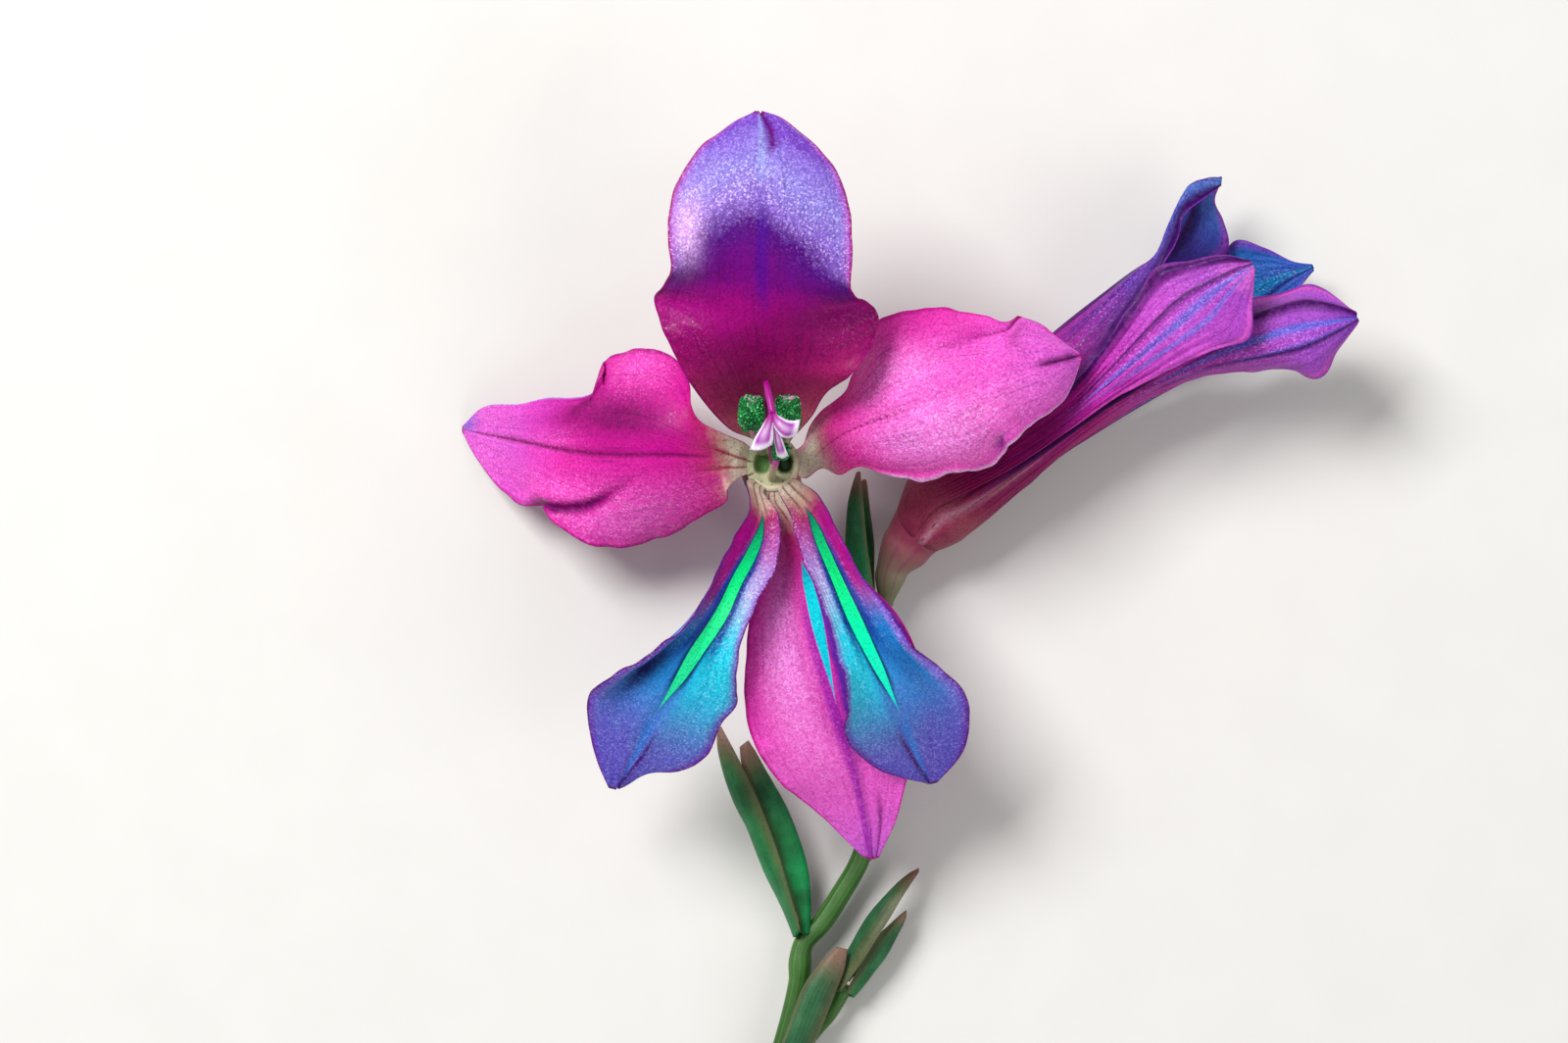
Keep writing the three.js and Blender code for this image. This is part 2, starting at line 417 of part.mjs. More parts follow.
const sideAxis = [[9.6, -7.9, 4], [10.3, -4.4, 4.3], [11.8, -2, 4.8], [14, 0.9, 5.6]];
addPiece("front_tube", tubeGeometry(frontAxis, [[0, 0.7], [0.15, 1.3], [0.4, 1.35], [1, 2.9]], 0.45),
  materials.throat);
addPiece("side_tube", tubeGeometry(sideAxis, [[0, 0.7], [0.3, 1.5], [0.6, 2.4], [1, 3.35]], 0.5),
  materials.violet);

// Stamens: a thread from the throat and a pollen sac on its end.
const stamens = {
  front_left: { thread: [[-2, 6.5, 12], [-2.4, 7.3, 14.5], [-2.9, 8.3, 18.5], [-3, 8.9, 20.3]],
    sac: [[-3, 9.4, 20.9], [-2.9, 9.9, 24.5], [-2.8, 10.5, 28]] },
  front_right: { thread: [[-0.2, 6.5, 12], [0.1, 7.3, 14.5], [0.3, 8.3, 18.5], [0.4, 8.9, 20.1]],
    sac: [[0.4, 9.3, 20.8], [0.35, 9.9, 24.5], [0.3, 10.5, 28]] },
  front_middle: { thread: [[-1.1, 4, 11.9], [-1, 4.7, 14], [-0.7, 5.6, 15.6]],
    sac: [[-0.5, 5.9, 16.1], [-0.3, 6, 18.3], [-0.1, 6.2, 20.5]] },
  side_near: { thread: [[15, 1.6, 6.3], [19, 6, 7.2], [24.5, 11, 8.3], [27, 13, 8.7]],
    sac: [[27.4, 13.4, 8.8], [30, 15.8, 8.9], [32.6, 18.2, 9]] },
  side_middle: { thread: [[14.6, 2, 5.5], [18.5, 6.4, 5.6], [24, 11.8, 6.1], [27, 14.6, 6.4]],
    sac: [[27.4, 15, 6.4], [29.9, 17.2, 6.6], [32.5, 19.5, 6.8]] },
  side_far: { thread: [[15, 1.6, 4.6], [19, 6, 4.2], [24.5, 10.6, 4], [27, 12.6, 4]],
    sac: [[27.4, 13, 4], [30, 15.2, 4.2], [32.6, 17.3, 4.4]] },
};
const threadRadii = [[0, FILAMENT_RADIUS], [1, FILAMENT_RADIUS]];
const sacRadii = [[0, 0.5], [0.25, ANTHER_RADIUS], [0.75, ANTHER_RADIUS], [1, 0.4]];
for (const [name, { thread, sac }] of Object.entries(stamens)) {
  addPiece(`${name}_filament`, roundGeometry(thread, threadRadii, THIN_SIDES, 8), materials.stigma);
  addPiece(`${name}_anther`, roundGeometry(sac, sacRadii, THIN_SIDES, 8), materials.anther);
}

// Styles: a thread from the throat that ends in three stigma lobes.
function styleGeometry(path, lobes) {
  let solid = solidOf(roundGeometry(path, [[0, STYLE_RADIUS], [1, STYLE_RADIUS]], THIN_SIDES, 12));
  const lobeRadii = [[0, STYLE_RADIUS * 0.9], [0.7, 0.55], [1, 0.35]];
  for (const lobe of lobes) {
    solid = solid.add(solidOf(roundGeometry(lobe, lobeRadii, THIN_SIDES, 6)));
  }
  return geometryOf(solid);
}
addPiece("front_style", styleGeometry([[-0.9, 5.1, 10.6], [-1.1, 5.8, 12.8], [-1.3, 7.6, 18], [-1.35, 9.4, 24],
  [-1.5, 11.6, 28.5], [-1.55, 12.3, 31], [-1.35, 11.3, 32.8], [-1, 9.6, 33.5]], [
  [[-1, 9.7, 33.3], [-1.6, 8, 34.3], [-2.3, 6.4, 34]],
  [[-1, 9.7, 33.3], [-0.3, 8.6, 34.3], [0.9, 8, 34]],
  [[-1, 9.7, 33.3], [-0.7, 8, 33.8], [-0.2, 6.1, 32.5]],
]), materials.stigma);
addPiece("side_style", styleGeometry([[15.6, 1.9, 5.4], [20.5, 6, 5.4], [27, 11.2, 6.2], [33, 16.2, 6.6]], [
  [[32.7, 16, 6.6], [34.4, 17.6, 7.2], [36, 18.8, 7.8]],
  [[32.7, 16, 6.6], [34.6, 17.4, 6.4], [36.4, 18.4, 6.2]],
  [[32.7, 16, 6.6], [34.4, 16.8, 7.2], [36.2, 17.2, 7.8]],
]), materials.stigma);

// The origin is the middle of the box that holds the spray, on the surface it lies on.
const box = new THREE.Box3().setFromObject(spray);
const middle = box.getCenter(new THREE.Vector3());
spray.position.set(-middle.x, -middle.y, -box.min.z);
const part = new THREE.Group();
part.add(spray);

export default part;
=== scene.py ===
import bpy
import json
import math
import numpy as np
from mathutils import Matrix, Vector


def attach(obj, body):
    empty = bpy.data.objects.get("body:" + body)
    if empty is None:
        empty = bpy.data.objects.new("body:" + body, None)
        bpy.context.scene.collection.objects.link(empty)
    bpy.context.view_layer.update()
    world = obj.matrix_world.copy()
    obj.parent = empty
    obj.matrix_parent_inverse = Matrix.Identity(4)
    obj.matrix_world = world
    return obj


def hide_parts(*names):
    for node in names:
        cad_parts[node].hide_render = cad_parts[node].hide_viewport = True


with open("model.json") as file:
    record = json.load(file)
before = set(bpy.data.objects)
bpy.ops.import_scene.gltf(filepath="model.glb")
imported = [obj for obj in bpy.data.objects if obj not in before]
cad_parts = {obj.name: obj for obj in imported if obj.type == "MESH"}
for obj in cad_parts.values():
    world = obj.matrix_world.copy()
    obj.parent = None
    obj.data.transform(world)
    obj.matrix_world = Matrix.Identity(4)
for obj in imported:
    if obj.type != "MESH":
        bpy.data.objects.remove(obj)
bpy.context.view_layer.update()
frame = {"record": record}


# View
# The cut spray lies on a pale table, and the camera looks straight down into the open flower. Every list of
# places below is in millimetres from the middle of the picture, with its height above the table.
MM = 0.001
REST_IN_FRAME = frame["record"]["mounts"][0]["pos_m"]
REST_IN_SPRAY = (-8.0, -115.0)
SHIFT = np.array([REST_IN_FRAME[0] / MM - REST_IN_SPRAY[0], REST_IN_FRAME[1] / MM - REST_IN_SPRAY[1], 0.0])
CAMERA_HEIGHT = 0.468
CAMERA_LENS = 112.5
SENSOR_WIDTH = 36
NEAREST_SEEN = 0.01
LAMPS = {"key_lamp": ((-0.30, 0.35, 0.55), 0.28, 5.2), "fill_lamp": ((0.45, -0.20, 0.50), 0.50, 1.4)}
STUDIO_STRENGTH = 0.36

scene = bpy.context.scene
scene.view_settings.view_transform = "Standard"
camera = bpy.data.objects.new("camera", bpy.data.cameras.new("camera"))
camera.data.lens = CAMERA_LENS
camera.data.sensor_width = SENSOR_WIDTH
camera.data.clip_start = NEAREST_SEEN
camera.location = (SHIFT[0] * MM, SHIFT[1] * MM, CAMERA_HEIGHT)
scene.collection.objects.link(camera)
scene.camera = camera


def add_lamp(name, place, size, power):
    """A soft square lamp that faces the middle of the spray."""
    data = bpy.data.lights.new(name, "AREA")
    data.size = size
    data.energy = power
    lamp = bpy.data.objects.new(name, data)
    lamp.location = place
    aim = Vector((0.0, 0.02, 0.0)) - lamp.location
    lamp.rotation_euler = aim.to_track_quat("-Z", "Y").to_euler()
    scene.collection.objects.link(lamp)


for name, (place, size, power) in LAMPS.items():
    add_lamp(name, place, size, power)
world = bpy.data.worlds.new("studio")
world.use_nodes = True
studio = world.node_tree.nodes["Background"].inputs
studio["Color"].default_value = (1, 1, 1, 1)
studio["Strength"].default_value = STUDIO_STRENGTH
scene.world = world


# Table
# A wide sheet of smooth pale card, which the spray lies on. It isn't part of the flower.
def rgb(red, green, blue):
    """A screen colour from 0 to 255 as the linear colour that a shader takes."""
    parts = [level / 255 for level in (red, green, blue)]
    return tuple(p / 12.92 if p <= 0.04045 else ((p + 0.055) / 1.055) ** 2.4 for p in parts) + (1.0,)


class Shade:
    """A value or colour in a material, so that sums on it read as plain expressions."""

    def __init__(self, finish, socket):
        self.finish = finish
        self.socket = socket

    def worked(self, operation, first, second=0.0):
        return self.finish.node("ShaderNodeMath", {"operation": operation}, {0: first, 1: second})

    def __add__(self, other):
        return self.worked("ADD", self, other)

    def __radd__(self, other):
        return self.worked("ADD", other, self)

    def __sub__(self, other):
        return self.worked("SUBTRACT", self, other)

    def __rsub__(self, other):
        return self.worked("SUBTRACT", other, self)

    def __mul__(self, other):
        return self.worked("MULTIPLY", self, other)

    def __rmul__(self, other):
        return self.worked("MULTIPLY", other, self)

    def __abs__(self):
        return self.worked("ABSOLUTE", self)

    def sine(self):
        return self.worked("SINE", self)

    def rise(self, low, high):
        """0 at low, 1 at high, with a soft step between."""
        inputs = {"Value": self, "From Min": low, "From Max": high}
        return self.finish.node("ShaderNodeMapRange", {"interpolation_type": "SMOOTHSTEP"}, inputs)

    def ramp(self, *stops):
        """Colours along this value, as (place, colour) stops."""
        return self.finish.node("ShaderNodeValToRGB", {"stops": stops}, {"Fac": self})

    def mixed(self, other, share, blend="MIX"):
        """This colour with a share of the other over it."""
        settings = {"data_type": "RGBA", "blend_type": blend}
        return self.finish.node("ShaderNodeMix", settings, {"Factor": share, "A": self, "B": other}, "Result")


class Finish:
    """A material of one Principled shader, with one method that adds any other node."""

    def __init__(self, name, **constants):
        self.material = bpy.data.materials.new(name)
        self.material.use_nodes = True
        self.tree = self.material.node_tree
        self.shader = self.tree.nodes["Principled BSDF"]
        for key, value in constants.items():
            self.shader.inputs[key.replace("_", " ").title().replace("Ior", "IOR")].default_value = value

    def node(self, kind, settings=None, inputs=None, output=0):
        made = self.tree.nodes.new(kind)
        for key, value in (settings or {}).items():
            if key == "stops":
                elements = made.color_ramp.elements
                while len(elements) < len(value):
                    elements.new(0.5)
                for element, (place, colour) in zip(elements, value):
                    element.position = place
                    element.color = colour
            else:
                setattr(made, key, value)
        for key, value in (inputs or {}).items():
            socket = self.socket(made.inputs, key)
            if isinstance(value, Shade):
                self.tree.links.new(value.socket, socket)
            else:
                socket.default_value = value
        return Shade(self, self.socket(made.outputs, output))

    def socket(self, sockets, key):
        """A socket by its number, or the one of that name that is in use."""
        if isinstance(key, int):
            return sockets[key]
        return [socket for socket in sockets if socket.name == key and socket.enabled][0]

    def carried(self, name):
        """A value that the mesh carries on each of its points."""
        return self.node("ShaderNodeAttribute", {"attribute_name": name}, None, "Fac")

    def place(self):
        return self.node("ShaderNodeTexCoord", None, None, "Object")

    def noise(self, vector, size, detail=2.0):
        """Soft noise whose blotches are about size mm across."""
        inputs = {"Vector": vector, "Scale": 1 / (size * MM), "Detail": detail}
        return self.node("ShaderNodeTexNoise", None, inputs, "Fac")

    def cells(self, vector, size):
        """One chance value for each small cell, about size mm across."""
        inputs = {"Vector": vector, "Scale": 1 / (size * MM)}
        colour = self.node("ShaderNodeTexVoronoi", None, inputs, "Color")
        return self.node("ShaderNodeSeparateColor", None, {"Color": colour}, "Red")

    def bump(self, height, strength, depth, under=None):
        """Relief of this height, where 1 stands for depth in mm."""
        inputs = {"Height": height, "Strength": strength, "Distance": depth * MM}
        if under is not None:
            inputs["Normal"] = under
        return self.node("ShaderNodeBump", None, inputs, "Normal")

    def painted(self, colour, normal=None, coat=None):
        """Joins what changes over the surface to the shader and gives the material."""
        for key, value in (("Base Color", colour), ("Normal", normal), ("Coat Weight", coat)):
            if value is not None:
                self.tree.links.new(value.socket, self.shader.inputs[key])
        return self.material


TABLE_HALF = 1.5
table_mesh = bpy.data.meshes.new("table")
table_corners = [(-TABLE_HALF, -TABLE_HALF, 0), (TABLE_HALF, -TABLE_HALF, 0),
                 (TABLE_HALF, TABLE_HALF, 0), (-TABLE_HALF, TABLE_HALF, 0)]
table_mesh.from_pydata(table_corners, [], [(0, 1, 2, 3)])
table = bpy.data.objects.new("table", table_mesh)
scene.collection.objects.link(table)
card = Finish("table_card", roughness=0.8, specular_ior_level=0.2)
card_grain = card.noise(card.place(), 9, 4)
card_colour = card_grain.ramp((0.35, rgb(220, 218, 214)), (0.65, rgb(222, 220, 216)))
table_mesh.materials.append(card.painted(card_colour, card.bump(card_grain, 0.04, 0.1)))


# Tepals of the open flower
# Six thin blades of soft tissue whose skin glistens, waved at their margins and thickest at the rib. They
# grow out of the mouth of the tube on narrow pale claws, three of them before the other three.
TEPAL_ROWS = 128
TEPAL_COLUMNS = 60
TEPAL_THICKNESS = 0.32
EDGE_THINNING = 0.75
TIP_THICKNESS = 0.3
RIM_WAVE = 0.3
RIM_WAVES = 3
RIM_FROM = 0.5
CURVE_STEPS = 24
ROOT_ROWS = 8
ROOT_EDGE = 0.15
ROOT_BEND = 0.7
CELL_SIZE = 0.14
MOUTH = {"centre": (-1.1, 5.5, 13.2), "depth": (-1.1, 5.4, 11.9), "radius": 2.2}


def bell(x, centre, width):
    return np.exp(-((x - centre) / width) ** 2)


def rise(x, low, high):
    """0 at low, 1 at high, with a soft step between."""
    share = np.clip((x - low) / (high - low), 0, 1)
    return share * share * (3 - 2 * share)


def smooth_line(points, shares):
    """Places on a smooth line through given points, at shares of its length."""
    p = np.array(points, float)
    p = np.vstack([2 * p[0] - p[1], p, 2 * p[-1] - p[-2]])
    t = np.linspace(0, 1, CURVE_STEPS + 1)[:-1, None]
    parts = []
    for a, b, c, d in zip(p[:-3], p[1:-2], p[2:-1], p[3:]):
        before, span, after = (np.linalg.norm(q - r) ** 0.5 for q, r in ((b, a), (c, b), (d, c)))
        leaving = ((b - a) / before - (c - a) / (before + span) + (c - b) / span) * span
        coming = ((c - b) / span - (d - b) / (span + after) + (d - c) / after) * span
        square = -3 * b + 3 * c - 2 * leaving - coming
        cube = 2 * b - 2 * c + leaving + coming
        parts.append(b + leaving * t + square * t ** 2 + cube * t ** 3)
    line = np.vstack(parts + [p[-2:-1]])
    gone = np.concatenate([[0], np.cumsum(np.linalg.norm(np.diff(line, axis=0), axis=1))])
    at = np.asarray(shares) * gone[-1]
    return np.stack([np.interp(at, gone, line[:, i]) for i in range(3)], -1)


def unit(vectors):
    return vectors / np.maximum(np.linalg.norm(vectors, axis=-1, keepdims=True), 1e-9)


def facing(surface):
    """Unit normals of a grid of places."""
    return unit(np.cross(np.gradient(surface, axis=1), np.gradient(surface, axis=0)))


def add_piece(name, parts, material):
    """One smooth object from parts of (places in mm, faces, carried values), in place of the named node."""
    places = np.concatenate([part[0] for part in parts])
    faces = []
    count = 0
    for part_places, part_faces, _ in parts:
        faces += [[corner + count for corner in face] for face in part_faces]
        count += len(part_places)
    mesh = bpy.data.meshes.new(name + "_fine")
    mesh.from_pydata(((places + SHIFT) * MM).tolist(), [], faces)
    mesh.polygons.foreach_set("use_smooth", [True] * len(mesh.polygons))
    for key in parts[0][2]:
        values = np.concatenate([np.broadcast_to(part[2][key], len(part[0])) for part in parts])
        mesh.attributes.new(key, "FLOAT", "POINT").data.foreach_set("value", values.astype(np.float32))
    mesh.materials.append(material)
    mesh.update()
    piece = bpy.data.objects.new(name + "_fine", mesh)
    scene.collection.objects.link(piece)
    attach(piece, "root")
    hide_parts(name)


def rooted(surface, mouth):
    """The blade's rows with a claw before them, which bends down onto the wall of the tube."""
    base = surface[0]
    centre, depth = np.array(mouth["centre"]), np.array(mouth["depth"])
    axis = unit(centre - depth)
    outward = base - centre
    outward = unit(outward - (outward @ axis)[:, None] * axis)
    wall = depth + outward * mouth["radius"]
    bend = base - unit(surface[1] - surface[0]) * ROOT_BEND
    t = np.linspace(0, 1, ROOT_ROWS + 1)[:-1, None, None]
    root = wall * (1 - t) ** 2 + 2 * bend * t * (1 - t) + base * t ** 2
    return np.concatenate([root, surface])


def blade_part(edges, form, thickness, rows, columns, mouth=None):
    """A thin blade through its left edge, rib and right edge, with relief in mm and thin round margins."""
    along = np.linspace(0, 1, rows + 1)[:, None]
    across = np.sin(np.linspace(-math.pi / 2, math.pi / 2, columns + 1))[None, :]
    left, rib, right = (smooth_line(edges[key], along[:, 0])[:, None, :] for key in ("left", "rib", "right"))
    v = across[..., None]
    surface = left * v * (v - 1) / 2 + rib * (1 - v * v) + right * v * (v + 1) / 2
    relief, carried = form(along, across)
    surface = surface + facing(surface) * relief[..., None]
    u, v = along + 0 * across, across + 0 * along
    rim = np.maximum(rise(abs(v), 0.95, 1.0), rise(u, 0.985, 1.0))
    carried = {"along": u, "across": v, "rim": rim, **carried}
    carried = {key: grid + 0 * u for key, grid in carried.items()}
    half = thickness / 2 * (1 - EDGE_THINNING * abs(v) ** 5) * np.minimum(1, (1 - u) * 12 + TIP_THICKNESS)
    if mouth:
        surface = rooted(surface, mouth)
        carried = {key: np.concatenate([grid[:1]] * ROOT_ROWS + [grid]) for key, grid in carried.items()}
        half = np.concatenate([half[:1] * np.linspace(ROOT_EDGE, 1, ROOT_ROWS)[:, None], half])
    carried["front"] = np.ones_like(half)
    offset = facing(surface) * half[..., None]
    index = np.arange(half.size).reshape(half.shape)
    a, b, c, d = (grid.ravel() for grid in (index[:-1, :-1], index[:-1, 1:], index[1:, 1:], index[1:, :-1]))
    loop = np.concatenate([index[0, :-1], index[:-1, -1], index[-1, :0:-1], index[:0:-1, 0]])
    turn = np.roll(loop, -1)
    faces = np.concatenate([np.stack(quad, -1) for quad in (
        (a, b, c, d), (a + half.size, d + half.size, c + half.size, b + half.size),
        (turn, loop, loop + half.size, turn + half.size))])
    places = np.concatenate([(surface + offset).reshape(-1, 3), (surface - offset).reshape(-1, 3)])
    values = {key: np.concatenate([grid.ravel(), grid.ravel() * (key != "front")])
              for key, grid in carried.items()}
    return places, faces.tolist(), values


def tepal_waves(u, v, seed, groove=0.0, wave=RIM_WAVE):
    """The solid's wave of the margins, with small crinkles, fine veins and a groove over the rib."""
    rim = np.clip((abs(v) - RIM_FROM) / (1 - RIM_FROM), 0, None)
    ends = np.sin(math.pi * u)
    edge = np.clip((abs(v) - 0.7) / 0.3, 0, None) ** 1.5
    height = wave * rim ** 2 * ends * np.sin(2 * math.pi * RIM_WAVES * u + v)
    height = height + 0.10 * edge * ends * np.sin(57 * u + 3 * v + seed)
    height = height + 0.06 * edge * ends * np.sin(107 * u + 5 * seed)
    height = height + 0.020 * ends * np.sin(48 * v + 1.5 * np.sin(7 * u + seed))
    height = height + 0.06 * ends * np.sin(9 * u + 4 * v + seed) * np.cos(11 * v - 5 * u)
    return height - groove * bell(v, 0, 0.045) * ends ** 0.5


class Skin(Finish):
    """A petal skin: ground colours along the blade, layers of colour over it, and cells with painted glints."""

    def __init__(self, name, stops, layers, grain_and_glint, cloud=0.10):
        super().__init__(name, roughness=0.42, specular_ior_level=0.12, subsurface_weight=0.10,
                         subsurface_scale=0.5 * MM)
        place = self.place()
        self.grain = self.cells(place, CELL_SIZE)
        self.mottle = self.noise(place, 0.6, 2)
        vein_place = self.node("ShaderNodeCombineXYZ", None, {
            "X": self.carried("across") * 13, "Y": self.carried("along") * 1.7})
        vein_inputs = {"Vector": vein_place, "Scale": 2.4, "Detail": 3.0}
        self.vein = self.node("ShaderNodeTexNoise", None, vein_inputs, "Fac")
        drift = (self.noise(place, 3.2, 3) - 0.5) * cloud
        reach = self.carried("reach") + drift + (self.mottle - 0.5) * 0.05
        self.colour = reach.ramp(*stops)
        # The mask of painted highlight, where the skin is painted lighter and painted glints show.
        self.glow = self.carried("glow")
        # How strongly the lighter cells and the painted glints show.
        self.grain_and_glint = grain_and_glint
        for mask, layer in layers:
            share = self.carried(mask)
            self.colour = self.colour.mixed(layer, share * (self.mottle * 0.7 + 0.65))

    def finished(self, glint, dark=rgb(120, 70, 140)):
        """The ground with veins, a fine grain of lighter and darker cells, and small painted glints,
        all lighter in the painted highlight.
        """
        # Lighter cells are screened over the ground, most of all in the painted highlight, then painted glints
        # are laid on.
        lit = self.glow * 0.65 + 0.35
        colour = self.colour.mixed(dark, self.vein.rise(0.52, 0.72) * 0.35, "MULTIPLY")
        colour = colour.mixed(dark, self.grain.rise(0.45, 0.0) * 0.35, "MULTIPLY")
        colour = colour.mixed(self.colour, self.grain.rise(0.35, 0.95) * lit * self.grain_and_glint, "SCREEN")
        colour = colour.mixed(glint, self.grain.rise(0.76, 1.0) * self.glow * self.grain_and_glint * 0.65)
        relief = self.bump(self.grain, 0.35, 0.03)
        relief = self.bump(self.mottle + self.vein, 0.5, 0.10, relief)
        return self.painted(colour, relief, self.grain.rise(0.85, 1.0) * 0.15)


def add_tepal(name, edges, form, material, mouth=MOUTH):
    part = blade_part(edges, form, TEPAL_THICKNESS, TEPAL_ROWS, TEPAL_COLUMNS, mouth)
    add_piece(name, [part], material)


# Upper tepal
# The hood over the stamens: brown rose at the claw, magenta in its hollow, a violet band with a scalloped
# upper border, and a lavender end with a pale rib. A small pleat lies right of the rib at the tip, painted dark
# as painted shade, and painted highlight and glints lie mostly on the lavender end.
UPPER_TEPAL = {
    "left": [[-3, 7.7, 13.9], [-5, 8.5, 17.5], [-7, 10.5, 21], [-8.8, 13, 24], [-10.8, 17, 25],
             [-11.6, 20.3, 23.5], [-10.2, 22.5, 28], [-10.5, 26, 28.5], [-9.7, 30, 27.5], [-7.4, 33.7, 27.5],
             [-4.6, 35.9, 26.5], [-2.7, 37, 26]],
    "rib": [[-1.1, 8.4, 13.8], [-1.2, 11.1, 19], [-1.3, 14.2, 23.5], [-1.9, 18.5, 27.5], [-2.2, 23, 29.5],
            [-2, 28.6, 30], [-1.9, 33.6, 28.5], [-2.3, 37, 26]],
    "right": [[0.8, 7.7, 13.9], [2.6, 9.7, 17.5], [3.8, 11.6, 21], [6, 13.2, 24], [8, 16, 23.5], [8.4, 19, 23],
              [6.1, 20.5, 28.5], [6.1, 23.7, 29], [5.8, 28, 28.5], [4.6, 31.8, 28], [2.3, 34.4, 27],
              [0, 36.2, 26.5], [-1.9, 37, 26]],
}


def upper_form(u, v):
    reach = u + np.where(v < 0, 0.125 * v * v, 0.17 * v) * rise(u, 0.48, 0.60)
    # The pleat is sunk into the blade and painted darker, as painted shade in its fold.
    pleat = bell(v, 0.16 + 2.2 * (u - 0.871), 0.07 + 1.4 * np.clip(u - 0.86, 0, 1)) * rise(u, 0.85, 0.90)
    shoulders = bell(u, 0.42, 0.07) * rise(abs(v), 0.35, 0.75)
    creases = np.sin(130 * (u - 0.10 * abs(v))) * shoulders * rise(abs(v), 0.4, 0.7)
    creases = creases + np.sin(70 * u + 9 * v) * rise(u, 0.62, 0.75) * rise(abs(v), 0.55, 0.85)
    patch = bell(u, 0.68, 0.07) * bell(v, -0.80, 0.16)
    far_half = rise(reach, 0.68, 0.78)
    relief = tepal_waves(u, v, 0.4, 0.10) - 0.35 * pleat + 0.07 * creases
    # Painted highlight: on the lavender end, less on the shoulders and the pale patch, and none in the pleat.
    glow = 0.8 * bell(reach, 0.79, 0.07) + 0.4 * far_half + 0.12 * shoulders + 0.6 * patch
    return relief, {
        "reach": reach, "pleat": pleat, "patch": patch,
        "stripe": bell(v, 0.02, 0.06) * rise(u, 0.42, 0.60) * rise(u, 0.80, 0.68) * 0.8,
        "pale_rib": bell(v, -0.02, 0.07) * rise(u, 0.76, 0.86),
        "flank": far_half * rise(abs(v), 0.86, 0.98) * 0.7,
        "glow": np.clip(glow, 0, 1) * (1 - np.clip(pleat, 0, 1))}


# Over the ground: a dark stripe, a pale rib, a pale patch, pink flanks, painted shade in the pleat and a dark
# rim.
upper_skin = Skin("upper_tepal_skin", [
    (0.00, rgb(184, 140, 122)), (0.07, rgb(184, 88, 108)), (0.20, rgb(166, 36, 94)), (0.35, rgb(136, 2, 90)),
    (0.48, rgb(150, 0, 114)), (0.57, rgb(112, 0, 116)), (0.70, rgb(74, 0, 116)), (0.76, rgb(124, 88, 184)),
    (0.84, rgb(134, 120, 206)), (0.93, rgb(130, 102, 202)), (1.00, rgb(112, 64, 184))],
    [("stripe", rgb(64, 0, 136)), ("pale_rib", rgb(142, 146, 216)), ("patch", rgb(206, 158, 220)),
     ("flank", rgb(176, 84, 188)), ("pleat", rgb(92, 0, 116)), ("rim", rgb(140, 0, 100))], 0.6)
add_tepal("front_tepal_upper", UPPER_TEPAL, upper_form,
          upper_skin.finished(rgb(238, 226, 255)))


# Left tepal
# An inner tepal that spreads to the left: a cream claw with brown lines, a magenta body, one raised lobe above,
# a lilac tip, and a deep fold that cuts into its lower margin and is painted dark as painted shade. A painted
# pink highlight lies on the lobe, the lower half and towards the tip.
LEFT_TEPAL = {
    "left": [[-4.4, 3.9, 13.5], [-5.2, 3, 14.5], [-5.3, 1.9, 13.5], [-7.8, 0.5, 12], [-10.5, -1.3, 9.5],
             [-14.5, -2.3, 8], [-18.4, -1.9, 8.5], [-21.5, -0.2, 9], [-23, 1.2, 8], [-24.8, 1.7, 4.5],
             [-27.7, 4, 2.5], [-29.8, 6.8, 1.1], [-30.7, 8.5, 0.24]],
    "rib": [[-4.6, 5.5, 13.5], [-7.2, 6, 15.5], [-10.9, 6.2, 15.5], [-14.5, 6.2, 14], [-18.3, 6.4, 11.5],
            [-22.1, 7, 8.5], [-25.9, 7.8, 4.8], [-30.7, 8.8, 0.24]],
    "right": [[-4.0, 7.5, 13.5], [-5.6, 8.15, 15], [-7.7, 9.25, 15.9], [-8.5, 10.6, 16], [-8.9, 13.3, 14.5],
              [-10.7, 15.5, 12.5], [-14.2, 15.9, 10.5], [-16.7, 15.2, 9], [-16.6, 13.5, 10.5],
              [-18.3, 11.9, 10], [-22.1, 11.6, 8], [-24.9, 11.1, 6], [-28.4, 10.9, 3], [-30.7, 9.1, 0.24]],
}


